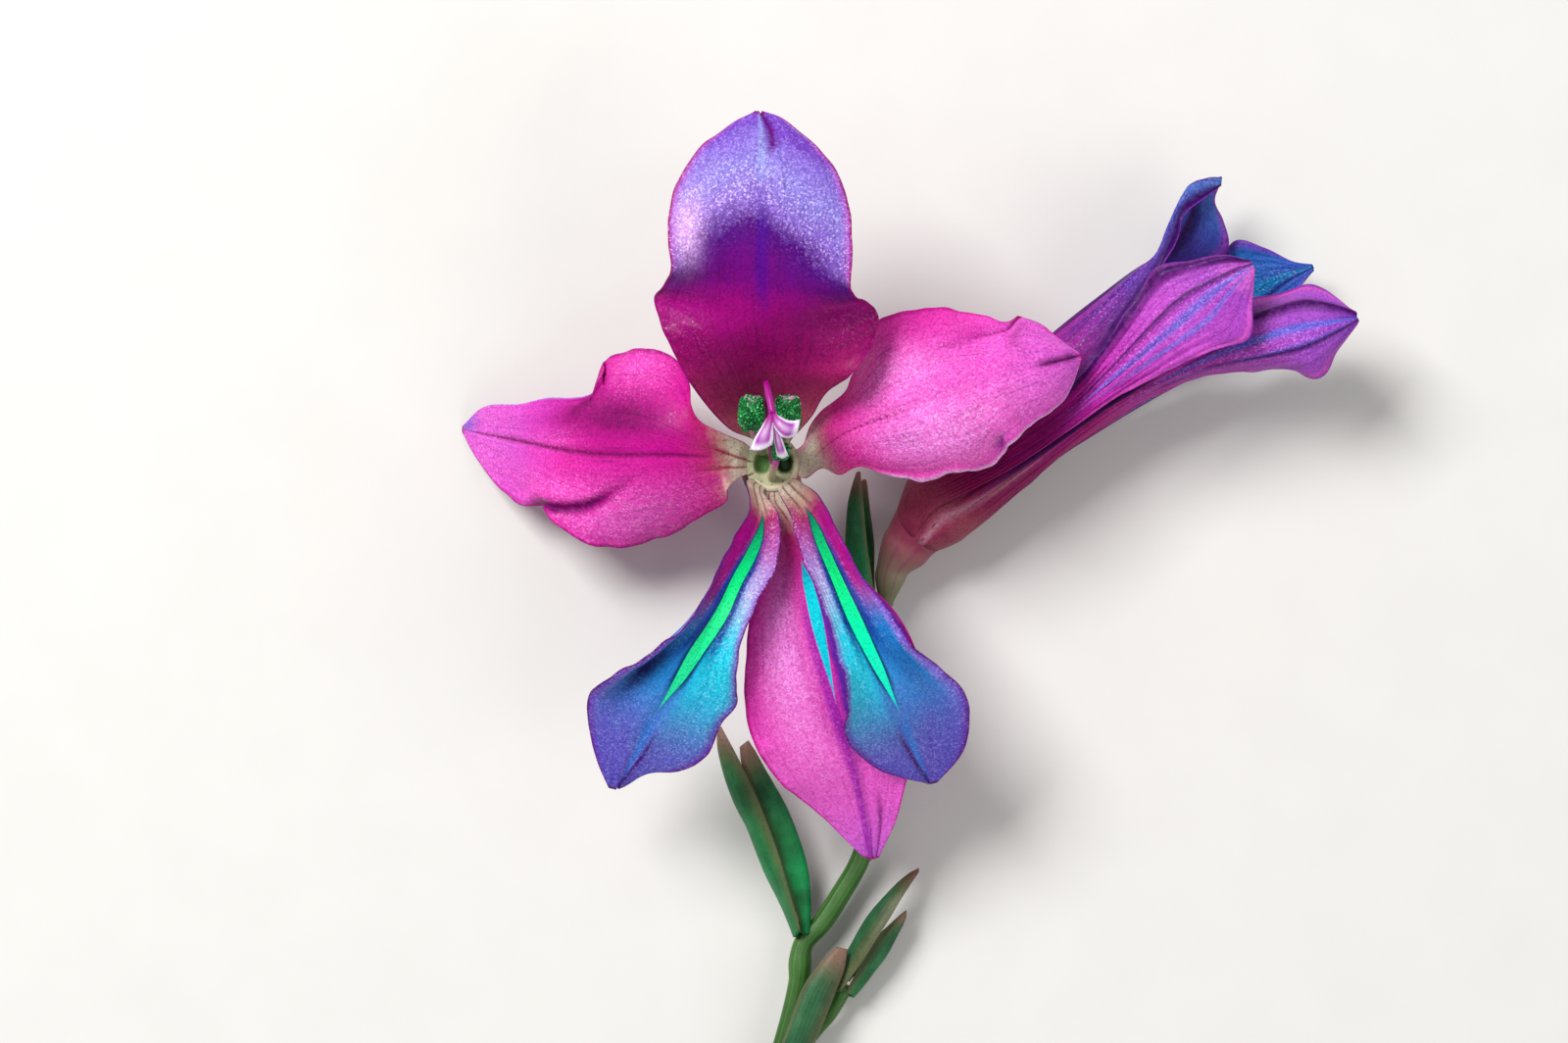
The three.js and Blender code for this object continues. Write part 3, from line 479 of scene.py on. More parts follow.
def left_form(u, v):
    fold_line = u - (0.375 - 0.45 * (v + 0.35))
    # The fold is sunk into the blade and painted dark, as painted shade in the valley.
    fold = bell(fold_line, 0, 0.035) * rise(v, -0.30, -0.62)
    fold = fold + 0.35 * bell(fold_line, 0, 0.025) * rise(v, -0.12, -0.35)
    fold = fold * rise(v, 0.0, -0.2)
    lip = bell(fold_line, 0.075, 0.045) * rise(v, -0.45, -0.85)
    dip = bell(u, 0.57, 0.06) * rise(v, 0.5, 0.9)
    lobe = bell(u, 0.37, 0.09) * bell(v, 0.82, 0.25)
    # The saddle is darker magenta between the lobe and the rib, and painted shade in the dip near the upper
    # margin.
    saddle = bell(u, 0.39, 0.23) * bell(v, 0.38, 0.25) + bell(u, 0.57, 0.08) * bell(v, 0.72, 0.24)
    # Painted pink highlight on the lobe, on the lower half and towards the tip.
    glow = 0.6 * lobe + bell(u, 0.42, 0.26) * bell(v, -0.66, 0.36) + 0.5 * rise(u, 0.66, 0.92)
    glow = glow + 0.4 * bell(u, 0.62, 0.10) * bell(v, 0.10, 0.2)
    relief = tepal_waves(u, v, 1.7, 0.20) - 0.45 * fold + 0.25 * lip - 0.15 * dip
    return relief, {
        "reach": u - 0.03 * abs(v), "fold": np.clip(fold, 0, 1), "saddle": np.clip(saddle, 0, 1),
        "rib": bell(v, 0, 0.035 + 0.02 * u) * rise(u, 0.06, 0.16),
        "brown": bell(abs(v), 0.28, 0.07) * rise(u, 0.16, 0.06),
        "blue_tip": rise(u, 0.90, 0.99) * rise(v, -0.2, 0.3) * 0.8,
        "pale_rim": rise(v, 0.955, 0.995) * rise(u, 0.55, 0.62) * rise(u, 0.93, 0.85),
        "glow": np.clip(glow, 0, 1) * (1 - np.clip(1.5 * fold, 0, 1))}


# Over the ground: a painted pink highlight, the darker saddle, brown lines, the dark rib, painted shade in the
# fold, a blue tip and the rims.
left_skin = Skin("left_tepal_skin", [
    (0.00, rgb(212, 202, 176)), (0.04, rgb(184, 124, 120)), (0.09, rgb(180, 34, 104)), (0.20, rgb(196, 6, 136)),
    (0.55, rgb(206, 16, 148)), (0.72, rgb(208, 64, 188)), (0.88, rgb(200, 94, 210)), (1.00, rgb(164, 78, 202))],
    [("glow", rgb(242, 86, 194)), ("saddle", rgb(128, 0, 94)), ("brown", rgb(150, 40, 70)),
     ("rib", rgb(120, 0, 86)), ("fold", rgb(104, 0, 88)), ("blue_tip", rgb(112, 92, 205)),
     ("rim", rgb(165, 0, 120)), ("pale_rim", rgb(180, 172, 232))], 0.5)
add_tepal("front_tepal_left", LEFT_TEPAL, left_form,
          left_skin.finished(rgb(255, 205, 245)))


# Right tepal
# An inner tepal that spreads to the right, with a cream claw, a dotted rib on its first half, a painted pink
# highlight in the middle, a crease from its upper margin and a pleat at the tip, both painted dark as painted
# shade, and a nick low on its right edge.
RIGHT_TEPAL = {
    "left": [[1.9, 7.4, 13.5], [2.5, 9, 14.7], [3.5, 10.2, 16], [5.6, 11.9, 17], [6.9, 15.1, 17],
             [8.7, 18.4, 17.5], [11.3, 19.1, 18], [14.1, 19.7, 17.5], [17.6, 19.3, 17], [20.3, 18.3, 18],
             [21.9, 18.9, 16], [25.1, 17, 16], [27.3, 15.5, 16.5]],
    "rib": [[2.5, 5.6, 13.5], [5.4, 8, 17], [11.2, 10.2, 20.5], [16.6, 11.8, 20.5], [22, 13.7, 19],
            [27.4, 15.3, 16.5]],
    "right": [[2.2, 4.1, 13.5], [3.6, 4.9, 14.8], [5.1, 4.3, 15.2], [6.8, 5, 16.5], [9.5, 4.4, 16],
              [13.1, 4.3, 15.8], [15.8, 4.7, 17], [18.4, 4.6, 15.5], [20.3, 6.2, 15.8], [20.8, 7.3, 17.3],
              [23, 9.1, 16.5], [25.7, 10.9, 16], [26.9, 13.4, 16], [27.4, 15, 16.5]],
}


def right_form(u, v):
    pleat_width = 0.05 + 0.10 * rise(u, 0.82, 0.92) + 0.30 * rise(u, 0.92, 0.99)
    # The pleat is sunk into the blade and painted very dark, as painted shade in its fold.
    pleat = bell(v, -0.04, pleat_width) * rise(u, 0.80, 0.90)
    crease_line = u - (0.625 - 0.50 * (v + 0.60))
    # The crease is sunk into the blade and painted darker, as painted shade, along with the broader shade beside
    # it.
    crease = bell(crease_line, 0, 0.022) * rise(v, -0.45, -0.75)
    nick = bell(u, 0.64, 0.035) * bell(v, 0.86, 0.10)
    shade = bell(crease_line, -0.05, 0.05) * rise(v, -0.2, -0.6)
    curl = bell(u, 0.36, 0.13) * rise(v, 0.90, 1.0)
    relief = tepal_waves(u, v, 2.9, 0.10) - 0.40 * pleat - 0.30 * crease - 0.30 * nick + 0.30 * curl
    relief = relief + 0.25 * bell(crease_line, 0.06, 0.05) * rise(v, -0.5, -0.9)
    # Painted pink highlight in the middle of the blade, weaker towards the tip.
    glow = 1.1 * bell(u, 0.46, 0.24) * bell(v, 0.38, 0.50) + 0.6 * bell(u, 0.42, 0.2) * bell(v, -0.45, 0.3)
    glow = glow + 0.25 * rise(u, 0.5, 0.8)
    return relief, {
        "reach": u - 0.04 * abs(v), "pleat": pleat, "crease": np.clip(0.7 * crease + 0.35 * shade, 0, 1),
        "nick": nick * 0.8,
        "hollow": bell(u, 0.19, 0.07) * (bell(v, 0.55, 0.3) + bell(v, -0.5, 0.3)) * 0.6,
        "rib": bell(v, 0, 0.03) * rise(u, 0.03, 0.07) * rise(u, 0.46, 0.34) * (0.55 + 0.45 * np.sin(260 * u)),
        "pale_rim": rise(v, 0.94, 0.99) * rise(u, 0.20, 0.30) * 0.9,
        "upper_side": rise(v, -0.45, -1.0) * rise(u, 0.75, 0.55) * 0.5,
        "glow": np.clip(glow, 0, 1) * (1 - pleat)}


# Over the ground: a painted pink highlight, deeper pink above and near the claw, painted shade in the crease, the
# nick, a dotted rib, painted shade in the pleat and the rims.
right_skin = Skin("right_tepal_skin", [
    (0.00, rgb(212, 204, 180)), (0.05, rgb(186, 120, 124)), (0.12, rgb(198, 44, 118)),
    (0.24, rgb(224, 24, 154)), (0.60, rgb(228, 46, 174)), (0.80, rgb(214, 68, 192)), (1.00, rgb(178, 70, 186))],
    [("glow", rgb(246, 122, 218)), ("upper_side", rgb(224, 48, 166)), ("hollow", rgb(214, 12, 144)),
     ("crease", rgb(150, 4, 122)), ("nick", rgb(140, 40, 150)), ("rib", rgb(130, 0, 84)),
     ("pleat", rgb(70, 0, 62)), ("rim", rgb(196, 10, 140)), ("pale_rim", rgb(236, 178, 232))], 0.55)
add_tepal("front_tepal_right", RIGHT_TEPAL, right_form,
          right_skin.finished(rgb(255, 222, 248)))


# Lower pair of tepals
# Each stands on a long arched claw and carries a green tongue in a dark blue ground. Cyan lies on its inner
# side, violet fans out below, and its outer margin is magenta above and curls over a hollow further down,
# which is painted dark navy as painted shadow. Painted highlight lies on the inner side and the lower end.
LOWER_LEFT_TEPAL = {
    "left": [[-1.8, 2.5, 13.8], [-0.3, 0.2, 18], [-0.6, -3.6, 21], [-2, -6.3, 22.5], [-3.4, -9.8, 23.5],
             [-4.2, -13.2, 23], [-4.35, -15.4, 21.5], [-4.4, -17, 20.5], [-5.6, -18.4, 19.5], [-7, -21.3, 17],
             [-9.2, -22.9, 15.5], [-12.7, -23.4, 14.5], [-14.6, -24.5, 13.3]],
    "rib": [[-2.6, 2.9, 13.7], [-2, 0, 17], [-3.1, -3.2, 20], [-5, -6.2, 22], [-7.1, -9.9, 22.5],
            [-9.4, -14.1, 21.5], [-11.8, -17.6, 19.5], [-13.5, -21, 16.5], [-15.5, -24.8, 13]],
    "right": [[-3.5, 3.6, 13.8], [-3.2, 1.1, 17.5], [-4.5, -1.6, 21], [-6.7, -5.25, 23.5], [-9.1, -9.15, 24.5],
              [-12.15, -11.8, 24], [-15.75, -13.8, 22], [-17.7, -15.5, 20], [-18, -18.6, 17.5],
              [-17.3, -22.1, 15], [-16.3, -24.7, 13.2]],
}
LOWER_RIGHT_TEPAL = {
    "left": [[1.5, 3.7, 13.8], [3.4, 2.2, 17], [5.4, -1.8, 20], [7.1, -5, 22], [9.3, -7.7, 23],
             [11.7, -11.2, 23], [14.3, -13.4, 21.5], [16.5, -15.6, 19.5], [17, -18.6, 17.5],
             [16.4, -21.5, 15.5], [14.2, -24.2, 13.7]],
    "rib": [[0.5, 2.9, 13.7], [2.2, 0.9, 16.5], [3.6, -2.5, 20], [5.5, -6.7, 22.8], [7.8, -11.8, 23.5],
            [9.4, -15, 22.5], [10.5, -17.3, 21], [11.9, -20.5, 17.5], [13.5, -24.3, 13.5]],
    "right": [[-0.4, 2.5, 13.8], [0.7, 0.2, 18], [2.1, -4.3, 22.5], [4.1, -9.6, 25], [5.7, -14, 25.5],
              [5.8, -16.5, 24], [5.4, -18.6, 21.5], [6.3, -20.8, 19], [8.7, -22.9, 16.5], [11.3, -23.8, 15],
              [13, -24.2, 13.7]],
}


def lower_form(inner, seed, lean, overhang):
    """The form of a lower tepal whose inner side is at v of this sign, with its tongue leaning inwards."""
    def form(u, v):
        w = v * inner
        aside = w - lean * bell(u, 0.41, 0.09)
        outer_strip = bell(u, 0.55, 0.15) * rise(w, -0.74, -0.86)
        # The hollow is sunk into the blade and painted dark navy, as painted shadow under the curled margin.
        hollow = overhang * bell(u, 0.61, 0.11) * bell(w, -0.58, 0.20)
        fan = rise(u, 0.66, 0.90) * rise(abs(w), 0.08, 0.35)
        relief = tepal_waves(u, v, seed) - 0.8 * hollow + 0.45 * overhang * outer_strip
        relief = relief - 0.16 * bell(w, 0.02, 0.10) * rise(u, 0.55, 0.75)
        relief = relief + 0.10 * bell(abs(w), 0.2, 0.08) * rise(u, 0.6, 0.8)
        # Painted highlight on the inner side, the curled strip and the lower end.
        glow = 0.8 * rise(u, 0.46, 0.30) * rise(w, 0.25, 0.6) + 0.5 * bell(u, 0.55, 0.2) * rise(w, 0.2, 0.5)
        glow = glow + 0.45 * rise(u, 0.6, 0.8) + 0.7 * outer_strip
        glow = glow + 0.6 * bell(w, -0.48, 0.10) * bell(u, 0.38, 0.12)
        return relief, {
            "reach": u + 0.05 * abs(w), "aside": aside, "hollow": np.clip(hollow, 0, 1),
            "outer_claw": rise(u, 0.50, 0.34) * rise(u, 0.06, 0.18) * rise(w, -0.26, -0.50),
            "inner_claw": bell(u, 0.38, 0.12) * rise(w, 0.30, 0.60) * 0.9,
            "outer_strip": outer_strip * 0.85,
            "cyan": bell(u, 0.52, 0.18) * rise(w, 0.05, 0.30) * rise(w, 1.2, 0.75),
            "brown": bell(abs(w), 0.34, 0.10) * rise(u, 0.16, 0.05) * 0.8,
            "teal": bell(u, 0.55, 0.12) * rise(w, -0.15, -0.35) * rise(w, -0.95, -0.60) * 0.8,
            "beside": bell(abs(aside), 0.33, 0.13) * rise(u, 0.14, 0.30) * rise(u, 0.60, 0.46),
            "violet_edge": rise(abs(w), 0.80, 0.97) * rise(u, 0.20, 0.36) * 0.7,
            "fan": fan * (0.55 + 0.35 * np.sin(17 * w + 4 * u + seed)),
            "tip_rib": bell(w, 0.01, 0.08) * rise(u, 0.70, 0.78),
            # A thin line of painted shade beside the raised rib near the tip.
            "tip_fold": bell(w, 0.16, 0.05) * rise(u, 0.74, 0.86),
            "glow": np.clip(glow, 0, 1)}
    return form


def lower_skin(name, tongue_tip):
    """Over the ground, the tongue is a band of its own width along the blade, with a dark blue border."""
    # Over the ground: violet fans, magenta and pale claws, cyan and teal, dark blue beside the tongue, brown
    # lines, painted shadow in the hollow, a lilac curled strip, violet edges, a blue rib and painted shade beside
    # it.
    skin = Skin(name, [
        (0.00, rgb(216, 208, 182)), (0.08, rgb(190, 150, 134)), (0.15, rgb(166, 44, 100)),
        (0.27, rgb(160, 50, 150)), (0.38, rgb(88, 76, 184)), (0.50, rgb(26, 116, 192)),
        (0.62, rgb(44, 136, 206)), (0.74, rgb(76, 116, 202)), (0.87, rgb(98, 92, 196)),
        (1.00, rgb(84, 66, 180))],
        [("fan", rgb(94, 84, 194)), ("outer_claw", rgb(158, 0, 120)), ("inner_claw", rgb(214, 142, 210)),
         ("cyan", rgb(24, 200, 222)), ("teal", rgb(22, 116, 188)), ("beside", rgb(6, 50, 138)),
         ("brown", rgb(110, 50, 56)), ("hollow", rgb(14, 12, 84)), ("outer_strip", rgb(132, 112, 204)),
         ("violet_edge", rgb(104, 26, 164)), ("tip_rib", rgb(48, 124, 220)), ("tip_fold", rgb(58, 0, 100)),
         ("rim", rgb(92, 8, 112))], 0.55)
    along = skin.carried("along")
    width = along.rise(0.06, 0.20) * 0.24 * ((0.715 - along) * 3.6).rise(-0.12, 1.12)
    inside = width - abs(skin.carried("aside"))
    skin.colour = skin.colour.mixed(rgb(0, 46, 96), inside.rise(-0.10, 0.0) * width.rise(0.0, 0.1))
    seen = skin.carried("front") * 0.8 + 0.2
    tongue = along.ramp(
        (0.08, rgb(0, 80, 70)), (0.20, rgb(0, 176, 104)), (0.34, rgb(0, 226, 122)), (0.70, tongue_tip))
    mark = inside.rise(0.0, 0.02) * seen
    skin.colour = skin.colour.mixed(tongue, mark)
    # No painted highlight on the tongue.
    skin.glow = skin.glow * (1 - mark)
    return skin.finished(rgb(226, 214, 255), rgb(140, 120, 190))


add_tepal("front_tepal_lower_left", LOWER_LEFT_TEPAL, lower_form(-1, 4.1, 0.17, 1.0),
          lower_skin("lower_left_tepal_skin", rgb(40, 232, 160)))
add_tepal("front_tepal_lower_right", LOWER_RIGHT_TEPAL, lower_form(1, 5.3, 0.04, 0.35),
          lower_skin("lower_right_tepal_skin", rgb(0, 255, 214)))


# Lower middle tepal
# It lies behind the lower pair. Its body is pink with a purple keel that runs out to the tip, and a cyan
# strip with a violet border lies beside the keel where the right-hand neighbour half covers it. A fold near
# the tip is painted dark as painted shade, and a painted pink highlight lies on the body.
LOWER_MIDDLE_TEPAL = {
    "left": [[0.1, 1.7, 12.9], [3.6, -1.2, 14.5], [7.2, -5.1, 16.5], [10.4, -8.5, 17.5], [12.2, -12, 17.5],
             [12.9, -16.1, 17], [12.5, -20.2, 15], [11.3, -24.2, 13.8], [10.5, -27.6, 12], [9.6, -29.8, 10.7],
             [8.9, -31.4, 9.5]],
    "rib": [[-1, 1.5, 12.9], [0.3, -1.2, 15], [1.6, -5.2, 17], [3.1, -10.6, 18], [5, -16.5, 17.5],
            [6.5, -21.5, 15.5], [7.5, -26.2, 12.5], [8.2, -31.6, 9.3]],
    "right": [[-2.2, 1.7, 12.9], [-1.2, -2.5, 16], [-1.9, -4.5, 17], [-3.1, -8.5, 18.8], [-3.5, -11.9, 19.5],
              [-3.6, -15.5, 19.5], [-3, -19.8, 17.5], [-0.5, -23.9, 14.5], [3.7, -27.7, 11.5],
              [7.3, -31.3, 9.5]],
}


def middle_form(u, v):
    keel = bell(v, 0.03 + 0.06 * u, 0.07) * rise(u, 0.45, 0.66)
    # The fold near the tip is sunk into the blade and painted darker, as painted shade.
    tip_fold = bell(v, -0.40 - 1.2 * (u - 0.86), 0.10) * rise(u, 0.78, 0.88)
    furrow = bell(v, -0.10, 0.06) * rise(u, 0.5, 0.7)
    relief = tepal_waves(u, v, 0.9) + 0.30 * keel - 0.25 * tip_fold - 0.2 * furrow
    return relief, {
        "reach": u - 0.03 * abs(v), "keel": keel * 0.85, "tip_fold": tip_fold * 0.8,
        "shadow_side": rise(v, 0.72, 1.0) * rise(u, 0.62, 0.40) * 0.7,
        "border": bell(v, 0.08, 0.05) * rise(u, 0.24, 0.34) * rise(u, 0.70, 0.58) * 0.8,
        "brown": bell(abs(v), 0.30, 0.08) * rise(u, 0.10, 0.04),
        "beyond": rise(v - 0.40 * (u - 0.2), -0.14, -0.20) * rise(u, 0.12, 0.24) * rise(u, 0.70, 0.56),
        # Painted pink highlight on the body of the blade.
        "glow": np.clip(0.9 * bell(u, 0.42, 0.24) * bell(v, 0.48, 0.32) + 0.25 * rise(u, 0.5, 0.7), 0, 1)}


# Over the ground: a painted pink highlight, painted shade on the shadow side, violet beyond the strip, the
# strip's border, the keel, painted shade in the tip fold, brown lines and the rim.
middle_skin = Skin("lower_middle_tepal_skin", [
    (0.00, rgb(186, 172, 150)), (0.04, rgb(180, 140, 130)), (0.10, rgb(196, 50, 125)),
    (0.22, rgb(222, 30, 158)), (0.60, rgb(228, 46, 176)), (0.82, rgb(216, 64, 188)),
    (0.94, rgb(180, 66, 196)), (1.00, rgb(140, 66, 190))],
    [("glow", rgb(250, 134, 222)), ("shadow_side", rgb(176, 2, 126)), ("beyond", rgb(92, 36, 160)),
     ("border", rgb(138, 0, 164)), ("keel", rgb(146, 4, 160)), ("tip_fold", rgb(124, 0, 106)),
     ("brown", rgb(140, 50, 80)), ("rim", rgb(180, 6, 130))], 0.55)
middle_along = middle_skin.carried("along")
strip_width = middle_along.rise(0.16, 0.24) * 0.105 * ((0.56 - middle_along) * 3.4).rise(-0.1, 1.0)
strip_aside = abs(middle_skin.carried("across") + 0.10 - (middle_along - 0.2) * 0.40)
strip = (strip_width - strip_aside).rise(0.0, 0.02) * middle_along.rise(0.15, 0.18)
middle_skin.colour = middle_skin.colour.mixed(
    middle_along.ramp((0.18, rgb(10, 160, 196)), (0.26, rgb(0, 220, 228)), (0.5, rgb(10, 204, 226))), strip)
add_tepal("front_tepal_lower_middle", LOWER_MIDDLE_TEPAL, middle_form,
          middle_skin.finished(rgb(255, 210, 248), rgb(170, 100, 176)))


# Throat of the open flower
# The perianth tube: a slim neck on the ovary that widens to an open mouth. Its wall is greenish cream, with
# short brown lines round the mouth that stand for brown marks and the painted shade in the gaps between
# the claws, and green that is painted ever darker with shade where it runs down into the neck.
FRONT_TUBE_AXIS = [[3, -2, 5.5], [1.8, 0.4, 7.2], [0, 3.4, 8.8], [-0.9, 5.1, 10.6], [-1.1, 5.4, 12.1]]
FRONT_TUBE_RADIUS = [(0, 0.7), (0.15, 1.3), (0.4, 1.35), (1, 2.6)]
TUBE_WALL = 0.55
TUBE_SIDES = 72
TUBE_ROWS = 60
HOLLOW_FROM = 0.5
HOLLOW_NECK = 0.55
CUP_CENTRE = (-1.1, 5.3, 12.3)
CUP_RADIUS = 2.5
CUP_THICKNESS = 0.3
CUP_RINGS = 36
CUP_SIDES = 96
SHELF_DEPTH = 0.5
PITS = ((-0.94, 0.1), (1.19, 0.1))
PIT_HALF = (0.85, 1.1)
PIT_DEPTH = 1.2
PIT_SQUARENESS = 2.5


def frames_along(line):
    """Two unit directions across a line at each of its places, turning no more than the line does."""
    tangents = unit(np.gradient(line, axis=0))
    across = np.cross(tangents[0], (0.0, 0.0, 1.0) if abs(tangents[0][2]) < 0.9 else (1.0, 0.0, 0.0))
    sides = []
    for tangent in tangents:
        across = unit(across - (across @ tangent) * tangent)
        sides.append(across)
    sides = np.array(sides)
    return sides, np.cross(tangents, sides)


def ring_quads(index):
    """The corners of the faces between the rings of a grid, as four arrays."""
    turned = np.roll(index, -1, axis=1)
    return index[:-1], turned[:-1], turned[1:], index[1:]


def round_part(path, radius, sides, rows, turn_back=None, squares=None, **carried):
    """A round body along a path. The radius is a function of share and angle, and turn_back adds the wall
    inside. Squares are fixed directions of angle 0 and of a quarter turn, for a body with a broad side."""
    shares = np.linspace(0, 1, rows + 1)
    line = smooth_line(path, shares)
    first, second = frames_along(line)
    if squares:
        first, second = (np.tile(np.array(side, float), (rows + 1, 1)) for side in squares)
    angles = np.linspace(0, 2 * math.pi, sides, endpoint=False)
    radii = radius(shares[:, None], angles[None, :]) + np.zeros((rows + 1, sides))
    order = np.arange(rows + 1)
    depth = np.zeros(rows + 1)
    if turn_back:
        from_share, inner_radius = turn_back
        back = np.arange(rows, int(from_share * rows) - 1, -1)
        inner = inner_radius((shares[back] - from_share) / (1 - from_share))[:, None] + np.zeros(sides)
        order, radii = np.concatenate([order, back]), np.concatenate([radii, inner])
        depth = np.concatenate([depth, (1 - shares[back]) / (1 - from_share)])
    cosine, sine = np.cos(angles)[:, None], np.sin(angles)[:, None]
    ring = first[order][:, None] * cosine + second[order][:, None] * sine
    places = line[order][:, None] + ring * radii[..., None]
    index = np.arange(places.shape[0] * sides).reshape(-1, sides)
    faces = np.stack(ring_quads(index), -1).reshape(-1, 4).tolist()
    faces += [index[0, ::-1].tolist(), index[-1].tolist()]
    values = {"along": np.repeat(shares[order], sides), "around": np.tile(angles, len(order)),
              "depth": np.repeat(depth, sides), **carried}
    return places.reshape(-1, 3), faces, values


def stepped(*stops):
    """A radius that follows (share, radius) stops with soft steps."""
    def radius(share, angle=0.0):
        value = stops[0][1] + 0 * share
        for (low, before), (high, after) in zip(stops[:-1], stops[1:]):
            value = np.where(share >= low, before + (after - before) * rise(share, low, high), value)
        return value
    return radius


throat = Finish("throat_wall", roughness=0.5, specular_ior_level=0.35, subsurface_weight=0.15,
                subsurface_scale=0.5 * MM)
throat_noise = throat.noise(throat.place(), 0.7, 3)
throat_depth = throat.carried("depth") + (throat_noise - 0.5) * 0.10
throat_outside = throat.carried("along").ramp(
    (0.0, rgb(96, 138, 84)), (0.3, rgb(150, 120, 110)), (0.8, rgb(166, 90, 104)), (1.0, rgb(196, 186, 156)))
# Inside, the wall goes from cream at the mouth to green and then near black deep down: green tissue with painted
# shade that deepens into the neck.
throat_inside = throat_depth.ramp(
    (0.0, rgb(186, 184, 158)), (0.22, rgb(160, 166, 128)), (0.5, rgb(84, 118, 66)), (0.8, rgb(28, 60, 24)),
    (1.0, rgb(14, 36, 14)))
# Short brown lines round the mouth: brown marks together with painted shade in the gaps between the claws.
throat_lines = (throat.carried("around") * 11).sine().rise(0.78, 0.98)
throat_inside = throat_inside.mixed(rgb(84, 48, 50), throat_lines * throat_depth.rise(0.20, 0.02) * 0.75)
cup_floor = throat_noise.ramp((0.3, rgb(150, 158, 116)), (0.7, rgb(190, 188, 156)))
cup_floor = cup_floor.mixed(rgb(84, 48, 50), throat_lines * throat.carried("out").rise(0.62, 0.85) * 0.8)
# The pits are green tissue with painted shade in their recesses, which is deeper in the right pit.
cup_pit = throat.carried("right").ramp((0.4, rgb(92, 132, 72)), (0.6, rgb(34, 62, 26)))
cup_floor = cup_floor.mixed(cup_pit, throat.carried("pit").rise(0.02, 0.75))
throat_wall = throat_outside.mixed(throat_inside, throat.carried("depth").rise(0.0, 0.01))


def cup_part():
    """The floor of the mouth: a shelf that slopes to two pits, with a narrow ridge between them."""
    out = np.linspace(0.02, 1, CUP_RINGS)[:, None]
    angle = np.linspace(0, 2 * math.pi, CUP_SIDES, endpoint=False)[None, :]
    x, y = out * CUP_RADIUS * np.cos(angle), out * CUP_RADIUS * np.sin(angle)
    pit = 0 * x
    for pit_x, pit_y in PITS:
        sideways = abs((x - pit_x) / PIT_HALF[0]) ** PIT_SQUARENESS
        lengthways = abs((y - pit_y) / PIT_HALF[1]) ** PIT_SQUARENESS
        pit = pit + rise(1 - sideways - lengthways, 0, 1)
    z = -SHELF_DEPTH * (1 - out ** 2) - PIT_DEPTH * pit
    top = np.stack([x, y, z], -1) + CUP_CENTRE
    index = np.arange(x.size).reshape(x.shape)
    a, b, c, d = ring_quads(index)
    under = x.size
    edge, turn = index[-1], np.roll(index[-1], -1)
    faces = np.concatenate([np.stack(quad, -1).reshape(-1, 4) for quad in (
        (a, d, c, b), (a + under, b + under, c + under, d + under), (edge, edge + under, turn + under, turn))])
    faces = faces.tolist() + [index[0].tolist(), (index[0, ::-1] + under).tolist()]
    places = np.concatenate([top.reshape(-1, 3), top.reshape(-1, 3) - (0, 0, CUP_THICKNESS)])
    values = {"pit": pit, "out": out + 0 * x, "right": rise(x, 0.0, 0.3), "around": angle + 0 * x}
    values = {key: np.tile(grid.ravel(), 2) for key, grid in values.items()}
    return places, faces, {"along": 1.0, "depth": 0.0, "floor": 1.0, **values}


def tube_part(axis, stops, **carried):
    """A tube along an axis, with (share, radius) stops, that is hollow from its middle up to its mouth."""
    widening = stops[-1][1] - TUBE_WALL - HOLLOW_NECK

    def hollow(share):
        return HOLLOW_NECK + widening * share ** 0.6
    return round_part(axis, stepped(*stops), TUBE_SIDES, TUBE_ROWS, (HOLLOW_FROM, hollow), **carried)


throat_tube = tube_part(FRONT_TUBE_AXIS, FRONT_TUBE_RADIUS, pit=0.0, out=0.0, right=0.0, floor=0.0)
throat_colour = throat_wall.mixed(cup_floor, throat.carried("floor"))
add_piece("front_tube", [throat_tube, cup_part()],
          throat.painted(throat_colour, throat.bump(throat_noise, 0.3, 0.1)))


# Stamens of the open flower
# Three threads spring from the throat. Each bears a two-lobed sac that has opened, so that a crust of green
# pollen grains covers it, with a scrap of pale sac wall left at its end.
SAC_HALVES = (1.08, 1.35)
MIDDLE_SAC_HALVES = (0.68, 0.6)
SIDE_SAC_HALVES = (0.9, 0.9)
SAC_SQUARENESS = 4
SAC_BLUNTNESS = 10
GRAIN_RADIUS = 0.085
GRAIN_COUNT = 560
GRAIN_SCATTER = 0.04
END_GRAINS = 0.4
chance = np.random.default_rng(11)
GOLDEN = (1 + 5 ** 0.5) / 2
GRAIN_CORNERS = unit(np.array([(0, a, b * GOLDEN) for a in (-1, 1) for b in (-1, 1)]
                              + [(a, b * GOLDEN, 0) for a in (-1, 1) for b in (-1, 1)]
                              + [(b * GOLDEN, 0, a) for a in (-1, 1) for b in (-1, 1)], float))
EDGE_OF_GRAIN = 1.1
GRAIN_FACES = []
for i in range(12):
    for j in range(i + 1, 12):
        for k in range(j + 1, 12):
            a, b, c = GRAIN_CORNERS[[i, j, k]]
            if max(np.linalg.norm(a - b), np.linalg.norm(b - c), np.linalg.norm(c - a)) < EDGE_OF_GRAIN:
                outward = np.cross(b - a, c - a) @ a > 0
                GRAIN_FACES.append([i, j, k] if outward else [i, k, j])

